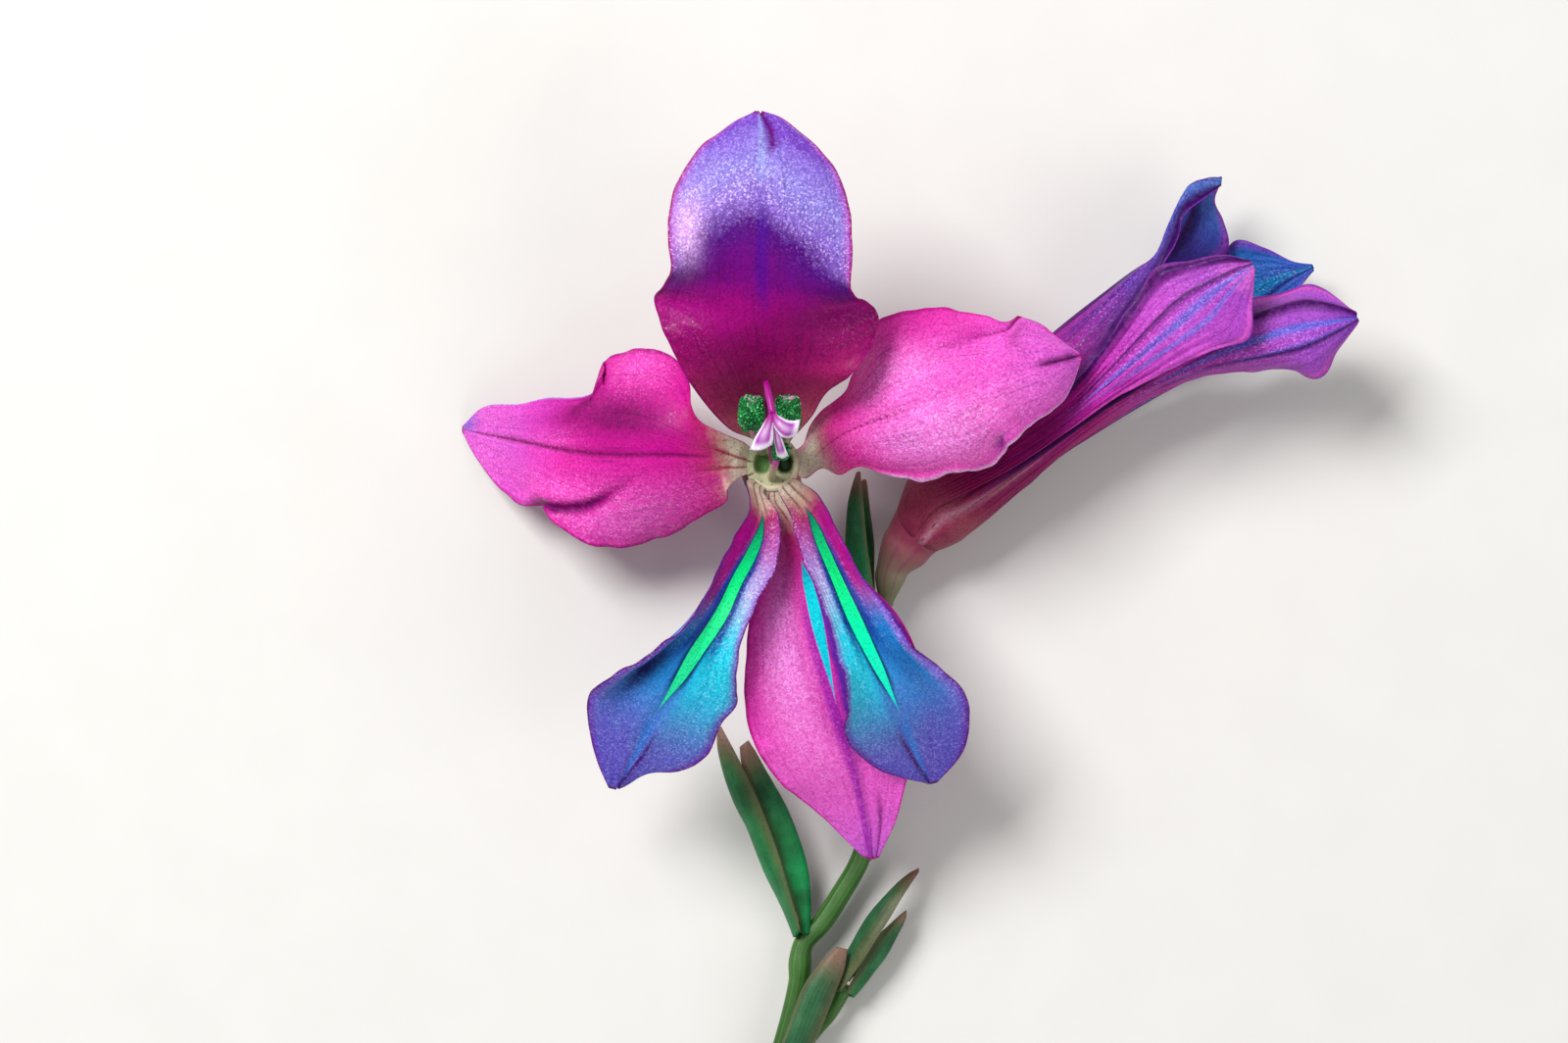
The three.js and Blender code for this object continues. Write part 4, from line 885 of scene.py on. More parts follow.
STAMENS = {
    "front_left": ([[-2, 6.5, 12], [-2.4, 7.3, 14.5], [-2.9, 8.3, 18.5], [-3, 8.9, 20.3]],
                   [[-3, 9.4, 20.9], [-2.95, 9.8, 24.5], [-2.9, 10.1, 28]]),
    "front_right": ([[-0.2, 6.5, 12], [0.1, 7.3, 14.5], [0.3, 8.3, 18.5], [0.4, 8.9, 20.1]],
                    [[0.4, 9.3, 20.8], [0.35, 9.8, 24.5], [0.3, 10.1, 28]]),
    "front_middle": ([[-1.1, 4, 11.9], [-1, 4.7, 14], [-0.7, 5.6, 15.6]],
                     [[-0.4, 6.25, 16.1], [-0.3, 6.4, 18.3], [-0.2, 6.55, 20.5]]),
}
thread = Finish("filament", roughness=0.45, specular_ior_level=0.4, subsurface_weight=0.2,
                subsurface_scale=0.4 * MM)
thread_colour = thread.carried("along").ramp(
    (0.0, rgb(150, 162, 118)), (0.6, rgb(172, 168, 136)), (0.85, rgb(186, 120, 158)), (1.0, rgb(176, 60, 150)))
thread_noise = thread.noise(thread.place(), 0.3, 2)
filament_finish = thread.painted(thread_colour.mixed(rgb(120, 80, 110), thread_noise.rise(0.55, 0.75) * 0.35),
                                 thread.bump(thread_noise, 0.3, 0.05))
pollen = Finish("pollen_crust", roughness=0.7, specular_ior_level=0.3)
pollen_tone = pollen.carried("tone")
pollen_colour = pollen_tone.ramp(
    (0.0, rgb(0, 40, 22)), (0.2, rgb(2, 96, 44)), (0.6, rgb(20, 146, 64)), (0.95, rgb(66, 184, 96)),
    (1.0, rgb(170, 220, 184)))
pollen_colour = pollen_colour.mixed(
    pollen.carried("around").ramp((0.0, rgb(236, 214, 232)), (1.0, rgb(212, 150, 196))), pollen.carried("wall"))
pollen_finish = pollen.painted(pollen_colour, pollen.bump(pollen.noise(pollen.place(), 0.12, 2), 0.5, 0.04))


def sac_outline(halves, angle):
    """Distance from the middle of a blocky sac to its side, at an angle."""
    across, along = abs(np.cos(angle) / halves[0]), abs(np.sin(angle) / halves[1])
    return (across ** SAC_SQUARENESS + along ** SAC_SQUARENESS) ** (-1 / SAC_SQUARENESS)


def sac_parts(path, grains, halves, squares):
    """The sac and the grains on it, each sunk half its width into it; a share of them covers the far end."""
    def radius(share, angle):
        ends = np.clip(1 - (2 * share - 1) ** SAC_BLUNTNESS, 0.01, 1) ** 0.5
        return ends * sac_outline(halves, angle) * (1 - 0.12 * bell(np.cos(angle), 0, 0.15))
    body = round_part(path, radius, 40, 44, None, squares)
    places = body[0]
    wall = rise(body[2]["along"], 0.55, 0.80) * rise(body[2]["along"], 0.985, 0.96)
    wall = wall * rise(np.sin(body[2]["around"]), 0.80, 0.95)
    parts = [(places, body[1], {**body[2], "wall": wall, "tone": 0.15 + 0 * wall})]
    base, end = np.array(path[0], float), np.array(path[-1], float)
    axis = end - base
    sides, thirds = frames_along(smooth_line(path, np.linspace(0, 1, 9)))
    first, second = (np.array(side) for side in squares or (sides[-1], thirds[-1]))
    roots = [places[spot] for spot in chance.choice(np.flatnonzero(body[2]["along"] < 0.95), grains)]
    for _ in range(int(END_GRAINS * grains)):
        angle = chance.uniform(0, 2 * math.pi)
        out = chance.uniform(0, 1) ** 0.5 * 0.97
        gone = (1 - (1 - out ** 2) ** (1 / SAC_BLUNTNESS)) / 2
        sideways = first * math.cos(angle) + second * math.sin(angle)
        roots.append(end - axis * gone + out * sac_outline(halves, angle) * sideways)
    for root in roots:
        size = GRAIN_RADIUS * chance.uniform(0.7, 1.5)
        corners = root + chance.normal(0, GRAIN_SCATTER, 3) + GRAIN_CORNERS * size
        parts.append((corners, GRAIN_FACES, {"along": 0.5, "around": 0.0, "depth": 0.0, "wall": 0.0,
                                             "tone": chance.uniform(0, 1)}))
    return parts


def add_stamen(name, path, sac, grains, halves, squares=None):
    add_piece(name + "_filament", [round_part(path, stepped((0, 0.40), (0.3, 0.34), (1, 0.30)), 20, 40)],
              filament_finish)
    add_piece(name + "_anther", sac_parts(sac, grains, halves, squares), pollen_finish)


for name, (path, sac) in STAMENS.items():
    halves = MIDDLE_SAC_HALVES if name == "front_middle" else SAC_HALVES
    add_stamen(name, path, sac, GRAIN_COUNT, halves, ((1, 0, 0), (0, 1, 0)))


# Style of the open flower
# A magenta stalk that arches over the stamens and opens into three flat lobes, whose edges carry a white
# fringe of fine teeth.
FRONT_STYLE = [[-0.9, 5.1, 10.6], [-1.1, 5.8, 12.8], [-1.3, 7.6, 18], [-1.35, 9.4, 24], [-1.5, 11.6, 28.5],
               [-1.55, 12.3, 31], [-1.35, 11.3, 32.8], [-1, 9.6, 33.5]]
FRONT_LOBES = [
    {"left": [[-0.9, 9.6, 33.3], [-1.0, 8.3, 34.1], [-1.0, 7.4, 34.2], [-1.1, 6.8, 34.0]],
     "rib": [[-1.0, 9.7, 33.4], [-1.5, 8.3, 34.4], [-1.9, 7.2, 34.5], [-2.1, 6.3, 34.2]],
     "right": [[-1.2, 9.8, 33.3], [-1.9, 8.5, 34.2], [-2.6, 7.3, 34.2], [-3.0, 6.4, 33.9]]},
    {"left": [[-0.9, 9.9, 33.3], [-0.4, 9.3, 34.1], [0.5, 8.9, 34.2], [1.4, 9.0, 33.9]],
     "rib": [[-1.0, 9.7, 33.4], [-0.5, 8.7, 34.4], [0.4, 8.1, 34.5], [1.3, 8.3, 34.2]],
     "right": [[-1.1, 9.6, 33.3], [-0.8, 8.3, 34.1], [-0.1, 7.5, 34.1], [1.0, 7.5, 33.8]]},
    {"left": [[-0.9, 9.6, 33.2], [-0.5, 8.2, 33.6], [-0.1, 7.0, 33.3], [0.35, 5.9, 32.5]],
     "rib": [[-1.0, 9.6, 33.3], [-0.75, 8.1, 33.7], [-0.45, 6.8, 33.4], [-0.1, 5.6, 32.5]],
     "right": [[-1.1, 9.6, 33.2], [-0.95, 8.1, 33.6], [-0.8, 6.9, 33.3], [-0.6, 5.8, 32.4]]},
]
TOOTH_LENGTH = 0.17
TOOTH_RADIUS = 0.04
TOOTH_SPREAD = 0.25


def lobe_form(u, v):
    return 0.02 * np.sin(30 * u) * abs(v), {
        "white": np.clip(rise(abs(v), 0.62, 0.92) * rise(u, 0.15, 0.5) + rise(u, 0.78, 0.95)
                         + 0.5 * bell(u, 0.55, 0.25) * bell(v, 0, 0.4), 0, 1)}


def lobe_parts(edges):
    """A lobe with a tooth at every step of its far margins."""
    part = blade_part(edges, lobe_form, 0.12, 24, 14)
    keep = ("along", "across", "white")
    parts = [(part[0], part[1], {key: part[2][key] for key in keep})]
    shares = np.linspace(0.35, 1, 22)
    margins = [smooth_line(edges[key], shares) for key in ("left", "right")]
    ends = [margins[0][-1] * (1 - t) + margins[1][-1] * t for t in np.linspace(0, 1, 9)]
    centre = smooth_line(edges["rib"], [0.45])[0]
    for root in np.concatenate([margins[0], margins[1], ends]):
        out = unit(root - centre + chance.normal(0, TOOTH_SPREAD, 3) + (0, 0, 0.3))
        side = unit(np.cross(out, (0.3, 0.2, 1.0)))
        third = np.cross(out, side)
        ring = [root - out * 0.05 + TOOTH_RADIUS * (side * math.cos(a) + third * math.sin(a))
                for a in np.linspace(0, 2 * math.pi, 5)[:-1]]
        tip = root + out * TOOTH_LENGTH * chance.uniform(0.6, 1.2)
        faces = [[0, 1, 4], [1, 2, 4], [2, 3, 4], [3, 0, 4], [3, 2, 1], [3, 1, 0]]
        parts.append((np.array(ring + [tip]), faces, {"along": 1.0, "across": 0.0, "white": 1.0}))
    return parts


def add_style(name, path, lobes, finish):
    stalk = round_part(path, stepped((0, 0.26), (0.85, 0.27), (1, 0.32)), 16, 80)
    values = {"along": stalk[2]["along"] * 0, "across": stalk[2]["around"] * 0, "white": stalk[2]["along"] * 0}
    parts = [(stalk[0], stalk[1], values)]
    for lobe in lobes:
        parts += lobe_parts(lobe)
    add_piece(name, parts, finish)


stigma = Finish("stigma_skin", roughness=0.4, specular_ior_level=0.4, subsurface_weight=0.15,
                subsurface_scale=0.3 * MM)
stigma_noise = stigma.noise(stigma.place(), 0.25, 3)
stigma_colour = stigma.carried("along").ramp((0.0, rgb(160, 0, 128)), (1.0, rgb(158, 30, 176)))
stigma_colour = stigma_colour.mixed(rgb(100, 0, 90), stigma_noise.rise(0.5, 0.8) * 0.4)
stigma_colour = stigma_colour.mixed(rgb(244, 236, 250), stigma.carried("white") * (stigma_noise * 0.6 + 0.6))
stigma_finish = stigma.painted(stigma_colour, stigma.bump(stigma_noise, 0.4, 0.04))
add_style("front_style", FRONT_STYLE, FRONT_LOBES, stigma_finish)


# Tepals of the side flower
# The second flower is open less far and faces along the table to the right. Its outsides show: rose near the
# tube, then pink and lilac with blue streaks and deep violet folds whose darkness is painted shade, a painted
# highlight along each blade, and steel blue where the tips curl.
SIDE_MOUTH = {"centre": (14, 0.9, 5.6), "depth": (12.4, -1.3, 5.1), "radius": 2.5}
RIM_WAVE_OF_SIDE_FLOWER = 0.1
SIDE_GLINT = rgb(228, 168, 244)


def long_bend(u):
    """How far the ridge of the near lower tepal and the fold above it run aside of the rib."""
    return 0.45 * np.exp(-10 * u) + 0.28 * rise(u, 0.45, 0.70)


def side_form(seed, folds, streaks, highlight_at, ridge=0.0, bend=lambda u: 0 * u):
    """Folds are (place across, width, from, depth in mm), sunk and painted dark as painted shade; streaks and
    the painted highlight are (place across, width).
    """
    def form(u, v):
        fold, height = 0 * u * v, tepal_waves(u, v, seed, 0.0, RIM_WAVE_OF_SIDE_FLOWER)
        for at, width, start, depth in folds:
            crease = bell(v, at + bend(u), width) * rise(u, start, start + 0.25)
            fold = np.maximum(fold, crease)
            height = height - depth * crease
        streak = 0 * fold
        for at, width in streaks:
            band = bell(v + 0.06 * np.sin(9 * u + seed), at, width)
            streak = np.maximum(streak, band * rise(u, 0.35, 0.60))
        raised = ridge * bell(v, 0.04 + bend(u), 0.13)
        ripples = np.sin(31 * v + 2 * np.sin(5 * u)) * np.sin(math.pi * u) ** 0.5
        height = height + 0.07 * ripples + 0.25 * raised
        height = height + 0.22 * rise(abs(v), 0.70, 1.0) * rise(u, 0.40, 0.70) * np.sin(41 * u + 2 * v + seed)
        # Painted highlight along a band of the blade, none in the shaded folds.
        glow = bell(v, highlight_at[0], highlight_at[1]) * rise(u, 0.35, 0.6) * (1 - np.clip(fold, 0, 1))
        lines = rise(np.sin(23 * v + 3 * np.sin(3 * u + seed)), 0.5, 1.0)
        return height, {
            "reach": u, "fold": np.clip(fold, 0, 1), "streak": streak, "glow": glow,
            "lines": lines * rise(u, 0.05, 0.2) * rise(u, 0.85, 0.6) * 0.5,
            "pale_ridge": raised * rise(u, 0.32, 0.12) * 0.8,
            "pink_ridge": raised * rise(u, 0.80, 0.50) * 0.8,
            "hem": rise(abs(v), 0.82, 0.96) * rise(u, 0.3, 0.6),
            "rim": rise(abs(v), 0.95, 1.0) * rise(u, 0.4, 0.65)}
    return form


def side_skin(name, stops, streak, fold, hem, grain_and_glint=0.4):
    # The deep fold colour paints both the fine lines, which are veins, and the painted shade in the folds.
    layers = [("streak", streak), ("lines", fold), ("pink_ridge", rgb(226, 50, 168)),
              ("pale_ridge", rgb(164, 140, 126)), ("hem", hem), ("fold", fold), ("rim", rgb(116, 44, 156))]
    return Skin(name, stops, layers, grain_and_glint, cloud=0.2).finished(SIDE_GLINT)


SIDE_TEPALS = {
    "side_tepal_upper": {
        "left": [[12.3, 3.3, 7.9], [18.5, 7.6, 8.6], [24.3, 10.4, 9.6], [28.6, 13.6, 10.6], [32, 18.2, 11.4],
                 [34.8, 22.6, 11.8], [36.3, 25.4, 11.5], [36.9, 26.9, 11], [37.2, 28.4, 10.5], [38.9, 29.9, 9.8],
                 [40.9, 31.4, 9]],
        "rib": [[11.9, 4, 5.6], [14.8, 8, 6.2], [18.6, 11.7, 6.9], [22.2, 14.6, 7.4], [25.7, 17.1, 7.9],
                [29.6, 20.3, 8.5], [33, 23.3, 9], [35.3, 25.1, 9.2], [36.4, 27.2, 9.3], [37.4, 29.3, 9.3],
                [38.2, 31.4, 9.1], [39.6, 32, 9], [41, 31.8, 8.8]],
        "right": [[12.2, 3.6, 3.8], [17.6, 9.3, 3.8], [23.5, 14, 3.8], [29.7, 18.7, 4], [35.2, 22.3, 4.4],
                  [39.8, 24, 5], [41.9, 25.5, 5.8], [41.3, 28.3, 6.8], [40.5, 30.1, 7.6], [41, 31.7, 8.5]],
    },
    "side_tepal_upper_near": {
        "left": [[14.3, 1.3, 9.3], [21, 4.8, 10.8], [26.4, 8.4, 12.5], [30.9, 11.5, 14], [35.3, 13.8, 15.5],
                 [39.3, 15.7, 16.3], [42.8, 16.8, 17], [43.1, 20, 17.3], [43.3, 23.1, 17.6]],
        "rib": [[13.2, 2.3, 9.1], [20.1, 5.9, 10.5], [25.1, 9, 12], [30, 13.1, 14], [34.4, 17.1, 15.8],
                [38.8, 20.7, 17], [43.1, 23.6, 17.6]],
        "right": [[12.1, 3.5, 7.7], [19.2, 7.1, 9.8], [23.8, 9.8, 11], [27.8, 13.4, 12.6], [31.6, 18.8, 14.2],
                  [34.6, 23.3, 15.3], [37.5, 24, 16.2], [40.6, 24.4, 17], [42.9, 23.9, 17.5]],
    },
    "side_tepal_lower_near": {
        "left": [[16.85, -1.6, 6.3], [19, 0.1, 6.4], [23.5, 4, 6.8], [27, 7.1, 7.4], [30.2, 9.1, 7.8],
                 [34.7, 11.8, 8.6], [39, 13.6, 9.3], [43.3, 14.2, 10.2], [47.5, 13.9, 11.5], [49.9, 13.6, 13],
                 [51.4, 15.7, 13.8], [52.4, 17.4, 14.2], [53.1, 18.7, 14.5]],
        "rib": [[15.9, -0.6, 8.6], [23.9, 5.6, 9.5], [31, 10.9, 11.5], [38.2, 14.5, 13.5], [45.3, 16.6, 15],
                [49.8, 17.8, 15.3], [53.1, 18.8, 14.6]],
        "right": [[13.9, 1.8, 8.7], [20.2, 5.9, 9.3], [26.1, 9.5, 10.2], [31, 12.1, 11], [35.6, 14.5, 11.8],
                  [40.1, 18, 12], [43.6, 20.6, 12], [46.3, 21.4, 12], [48.9, 21.9, 12], [51.4, 20.7, 13.5],
                  [52.9, 19.5, 14.4]],
    },
    "side_tepal_lower_middle": {
        "left": [[16.65, -1.45, 4.6], [23.2, 4.6, 3.6], [28.8, 8.8, 3.3], [35.3, 13, 3.5], [40.8, 15.6, 4.2],
                 [45.4, 17.5, 5.2], [48.9, 19, 6.4], [51, 19.4, 7.3]],
        "rib": [[16.8, -1.55, 5.6], [23.2, 4.2, 4.4], [28.8, 8.2, 4.1], [35.3, 12.2, 4.2], [40.8, 14.7, 4.8],
                [45.3, 16.3, 5.8], [51.1, 19, 7.5]],
        "right": [[16.65, -1.45, 6.6], [22.7, 4, 5.8], [28.7, 8.2, 5.6], [35.1, 12.4, 6], [40.6, 14.9, 6.8],
                  [45.1, 16.2, 7.5], [48.8, 17.6, 7.8], [50.6, 18.6, 8]],
    },
    "side_tepal_lower_far": {
        "left": [[15.2, 0.3, 2.1], [22.3, 6.2, 2.6], [28.8, 11.8, 2.7], [35.3, 18.3, 3], [40.7, 23.9, 3.7],
                 [42.8, 26.6, 4.5], [45.4, 25.9, 4.8], [48.2, 24.5, 5], [49.8, 24.3, 5.2]],
        "rib": [[16, -0.5, 2.7], [23.8, 5.3, 2.3], [30.8, 10.9, 1.9], [37.3, 15.8, 2.1], [43.2, 20.6, 3.2],
                [46.8, 22.9, 4.5], [50, 24.1, 5.2]],
        "right": [[16.5, -1.3, 3.7], [24.2, 5, 2], [30.8, 9.8, 1.5], [37.3, 13.9, 1.7], [42.8, 17.2, 2.5],
                  [46.5, 19.5, 3.5], [48.5, 21.8, 4.6], [50, 23.7, 5.2]],
    },
    "side_tepal_upper_far": {
        "left": [[12.7, 3.2, 2.9], [18.6, 7.6, 2.6], [24.2, 13.2, 2], [29.4, 17.9, 1.7], [34.1, 21.2, 1.5],
                 [38.3, 23.2, 1.4], [41.8, 24.6, 1.6]],
        "rib": [[13.5, 2.3, 2.2], [19.6, 6.5, 1.6], [25.2, 11.6, 0.9], [30.9, 16.6, 0.48], [35.5, 20.3, 0.43],
                [39.3, 22.6, 0.7], [42.2, 24.6, 1.5]],
        "right": [[14.5, 1.3, 2], [21.5, 6.5, 1.2], [28, 12.3, 0.9], [33.7, 17, 0.62], [37.9, 20.3, 0.62],
                  [40.6, 22.6, 0.9], [42.2, 24.1, 1.4]],
    },
}
violet_outside = side_skin("violet_outside", [
    (0.00, rgb(142, 52, 78)), (0.10, rgb(140, 6, 80)), (0.35, rgb(150, 8, 110)), (0.55, rgb(138, 36, 146)),
    (0.72, rgb(84, 50, 158)), (0.88, rgb(52, 78, 168)), (1.00, rgb(88, 128, 204))],
    rgb(84, 18, 128), rgb(50, 0, 84), rgb(128, 62, 170))
lilac_outside = side_skin("lilac_outside", [
    (0.00, rgb(142, 52, 78)), (0.10, rgb(122, 2, 70)), (0.28, rgb(132, 2, 92)), (0.46, rgb(182, 22, 150)),
    (0.76, rgb(182, 70, 188)), (0.93, rgb(156, 62, 180)), (1.00, rgb(202, 96, 196))],
    rgb(98, 92, 198), rgb(60, 0, 88), rgb(206, 84, 190), 0.45)
long_outside = side_skin("long_outside", [
    (0.00, rgb(146, 66, 82)), (0.09, rgb(132, 18, 72)), (0.22, rgb(140, 2, 86)), (0.42, rgb(166, 8, 118)),
    (0.62, rgb(170, 44, 160)), (0.85, rgb(160, 74, 188)), (1.00, rgb(132, 60, 180))],
    rgb(84, 92, 198), rgb(62, 0, 82), rgb(192, 80, 188), 0.45)
teal_inside = side_skin("teal_inside", [
    (0.00, rgb(140, 50, 90)), (0.20, rgb(140, 8, 104)), (0.45, rgb(96, 24, 146)), (0.65, rgb(44, 60, 164)),
    (0.85, rgb(26, 94, 166)), (1.00, rgb(50, 76, 172))],
    rgb(8, 112, 160), rgb(22, 6, 96), rgb(96, 70, 176))
SIDE_LOOKS = {
    "side_tepal_upper": (side_form(0.7, [(0.35, 0.14, 0.30, 0.5), (-0.95, 0.30, 0.35, 0.2)], [(-0.2, 0.12)],
                                   (-0.4, 0.4)), violet_outside),
    "side_tepal_upper_near": (side_form(1.9, [(0.88, 0.17, 0.22, 0.35), (0.25, 0.05, 0.30, 0.15)],
                                        [(-0.05, 0.09), (-0.35, 0.05)], (0.1, 0.5)), lilac_outside),
    "side_tepal_lower_near": (side_form(3.3, [(0.33, 0.10, 0.0, 0.35), (-0.55, 0.06, 0.45, 0.15)],
                                        [(0.10, 0.10), (-0.3, 0.05)], (-0.1, 0.4), 1.0, long_bend), long_outside),
    "side_tepal_lower_middle": (side_form(4.4, [(0.0, 0.12, 0.2, 0.2)], [(0.3, 0.1)], (0.3, 0.5)), long_outside),
    "side_tepal_lower_far": (side_form(5.2, [(0.3, 0.1, 0.4, 0.25)], [(0.0, 0.15)], (0.0, 0.5)), teal_inside),
    "side_tepal_upper_far": (side_form(6.1, [(-0.3, 0.1, 0.4, 0.25)], [(0.2, 0.12)], (0.0, 0.5)), teal_inside),
}
for name, (form, material) in SIDE_LOOKS.items():
    add_tepal(name, SIDE_TEPALS[name], form, material, SIDE_MOUTH)


# Tube of the side flower
# A slim neck that widens into the flower. It is olive where it leaves the ovary and turns rose towards the
# tepals, with faint lines that run along it.
side_tube = Finish("side_tube_wall", roughness=0.5, specular_ior_level=0.35, subsurface_weight=0.1,
                   subsurface_scale=0.5 * MM)
side_tube_noise = side_tube.noise(side_tube.place(), 0.9, 3)
side_tube_reach = side_tube.carried("along") + (side_tube_noise - 0.5) * 0.25
side_tube_outside = side_tube_reach.ramp(
    (0.0, rgb(92, 112, 68)), (0.28, rgb(132, 126, 98)), (0.50, rgb(144, 98, 94)), (0.70, rgb(140, 54, 78)))
side_tube_lines = (side_tube.carried("around") * 9).sine().rise(0.4, 1.0)
side_tube_outside = side_tube_outside.mixed(rgb(130, 40, 80), side_tube_lines * 0.35)
# Inside, the wall is painted darker the deeper it goes, as painted shade.
side_tube_inside = side_tube.carried("depth").ramp((0.0, rgb(176, 60, 130)), (1.0, rgb(80, 30, 60)))
side_tube_colour = side_tube_outside.mixed(side_tube_inside, side_tube.carried("depth").rise(0.0, 0.01))
SIDE_TUBE_AXIS = [[9.6, -7.9, 4], [10.3, -4.4, 4.3], [11.8, -2, 4.8], [14, 0.9, 5.6]]
SIDE_TUBE_RADIUS = [(0, 0.7), (0.3, 1.5), (0.6, 2.4), (0.85, 2.8), (1, 3.1)]
add_piece("side_tube", [tube_part(SIDE_TUBE_AXIS, SIDE_TUBE_RADIUS)],
          side_tube.painted(side_tube_colour, side_tube.bump(side_tube_noise, 0.3, 0.1)))


# Stamens and style of the side flower
# The same parts as in the open flower, lying along the inside of the half-open tepals.
SIDE_GRAIN_COUNT = 260
SIDE_STAMENS = {
    "side_near": ([[15, 1.6, 6.3], [19, 6, 7.2], [24.5, 11, 8.3], [27, 13, 8.7]],
                  [[27.4, 13.4, 8.8], [30, 15.8, 8.9], [32.6, 18.2, 9]]),
    "side_middle": ([[14.6, 2, 5.5], [18.5, 6.4, 5.6], [24, 11.8, 6.1], [27, 14.6, 6.4]],
                    [[27.4, 15, 6.4], [29.9, 17.2, 6.6], [32.5, 19.5, 6.8]]),
    "side_far": ([[15, 1.6, 4.6], [19, 6, 4.2], [24.5, 10.6, 4], [27, 12.6, 4]],
                 [[27.4, 13, 4], [30, 15.2, 4.2], [32.6, 17.3, 4.4]]),
}
for name, (path, sac) in SIDE_STAMENS.items():
    add_stamen(name, path, sac, SIDE_GRAIN_COUNT, SIDE_SAC_HALVES)
SIDE_LOBES = [
    {"left": [[32.6, 16.1, 6.7], [33.6, 17.4, 7.2], [34.9, 18.7, 7.6], [35.8, 19.3, 7.8]],
     "rib": [[32.7, 16.0, 6.6], [34.0, 17.1, 7.0], [35.2, 18.1, 7.5], [36.0, 18.8, 7.8]],
     "right": [[32.8, 15.9, 6.5], [34.4, 16.8, 6.8], [35.6, 17.7, 7.3], [36.2, 18.4, 7.7]]},
    {"left": [[32.6, 16.1, 6.6], [33.9, 17.3, 6.5], [35.2, 18.2, 6.3], [36.2, 18.9, 6.2]],
     "rib": [[32.7, 16.0, 6.5], [34.2, 17.0, 6.4], [35.5, 17.8, 6.2], [36.4, 18.4, 6.1]],
     "right": [[32.8, 15.9, 6.4], [34.5, 16.6, 6.2], [35.8, 17.3, 6.1], [36.6, 17.9, 6.0]]},
    {"left": [[32.6, 16.1, 6.7], [33.8, 16.9, 7.1], [35.0, 17.3, 7.6], [36.0, 17.7, 7.9]],
     "rib": [[32.7, 16.0, 6.6], [34.0, 16.5, 7.0], [35.2, 16.9, 7.5], [36.2, 17.2, 7.8]],
     "right": [[32.8, 15.9, 6.5], [34.3, 16.1, 6.8], [35.4, 16.4, 7.3], [36.3, 16.7, 7.6]]},
]
SIDE_STYLE = [[15.6, 1.9, 5.4], [20.5, 6, 5.4], [27, 11.2, 6.2], [33, 16.2, 6.6]]
add_style("side_style", SIDE_STYLE, SIDE_LOBES, stigma_finish)


# Stem
# A slender green stalk that turns a little at each node, with fine ribs along it, one side branch, and a cut
# end that rests on the table.
STEM_PATH = [[-8, -120, 1.1], [-8, -110, 1.1], [-8.3, -95, 1.35], [-7, -78, 1.6], [-4, -62, 1.9],
             [-1.8, -55, 2.2], [-0.03, -49.5, 2.4], [1.35, -43.9, 2.5], [1.8, -40.2, 2.4], [3.6, -38.1, 2.5],
             [5.3, -35.5, 2.6], [7.4, -31.6, 2.8], [8.6, -24.9, 3.2], [8.7, -15.6, 3.4], [8.5, -9.3, 3.6],
             [6.4, -5.7, 3.9], [4.5, -3.8, 4.2]]
BRANCH_PATH = [[-4, -62, 1.9], [-2.3, -58.5, 1.7], [0, -53.9, 1.5], [2.3, -49.2, 1.5], [4.4, -46.6, 2.2],
               [5.8, -44, 2.55]]
STEM_RIBS = 11
STEM_RIB_HEIGHT = 0.028
CUT_END_RADIUS = 1.25
NODE_SHARES = (0.475, 0.655, 0.94)
NODE_SWELLING = 0.14


def stem_radius(share, angle):
    radius = stepped((0, CUT_END_RADIUS), (0.12, CUT_END_RADIUS), (0.5, 1.05), (0.62, 0.95), (1, 0.88))(share)
    swelling = sum(NODE_SWELLING * bell(share, at, 0.008) for at in NODE_SHARES)
    return radius + swelling + STEM_RIB_HEIGHT * np.cos(STEM_RIBS * angle) * (1 + 0.4 * np.sin(90 * share))


def branch_radius(share, angle):
    return 0.75 + 0.02 * np.cos(9 * angle) + 0.12 * bell(share, 1, 0.06)


def stalk_part(path, radius, sides, rows, cut):
    """A stalk that lies flat where it meets the table. Cut is 1 if its first end is cut through, else 0."""
    places, faces, values = round_part(path, radius, sides, rows)
    places[:, 2] = np.maximum(places[:, 2], 0)
    return places, faces, {**values, "cut": cut * rise(values["along"], 0.0006, 0.0)}


green = Finish("stem_skin", roughness=0.42, specular_ior_level=0.25, subsurface_weight=0.08,
               subsurface_scale=0.5 * MM)
green_noise = green.noise(green.place(), 4.5, 3)
green_grain = green.noise(green.place(), 0.35, 2)
green_ribs = (green.carried("around") * STEM_RIBS).sine()
green_colour = green_noise.ramp((0.3, rgb(40, 84, 30)), (0.5, rgb(52, 98, 38)), (0.7, rgb(66, 114, 48)))
green_colour = green_colour.mixed(rgb(80, 96, 52), green.carried("along").rise(0.62, 0.40) * 0.7)
green_colour = green_colour.mixed(rgb(122, 148, 94), green_ribs.rise(0.2, 1.0) * 0.22)
green_colour = green_colour.mixed(rgb(58, 96, 44), green_grain.rise(0.56, 0.70) * 0.5)
green_colour = green_colour.mixed(rgb(196, 204, 160), green.carried("cut"))
stem_finish = green.painted(green_colour, green.bump(green_grain + green_ribs * 0.3, 0.4, 0.06))
stem = stalk_part(STEM_PATH, stem_radius, 44, 420, 1)
branch = stalk_part(BRANCH_PATH, branch_radius, 32, 60, 0)
add_piece("stem", [stem, branch], stem_finish)


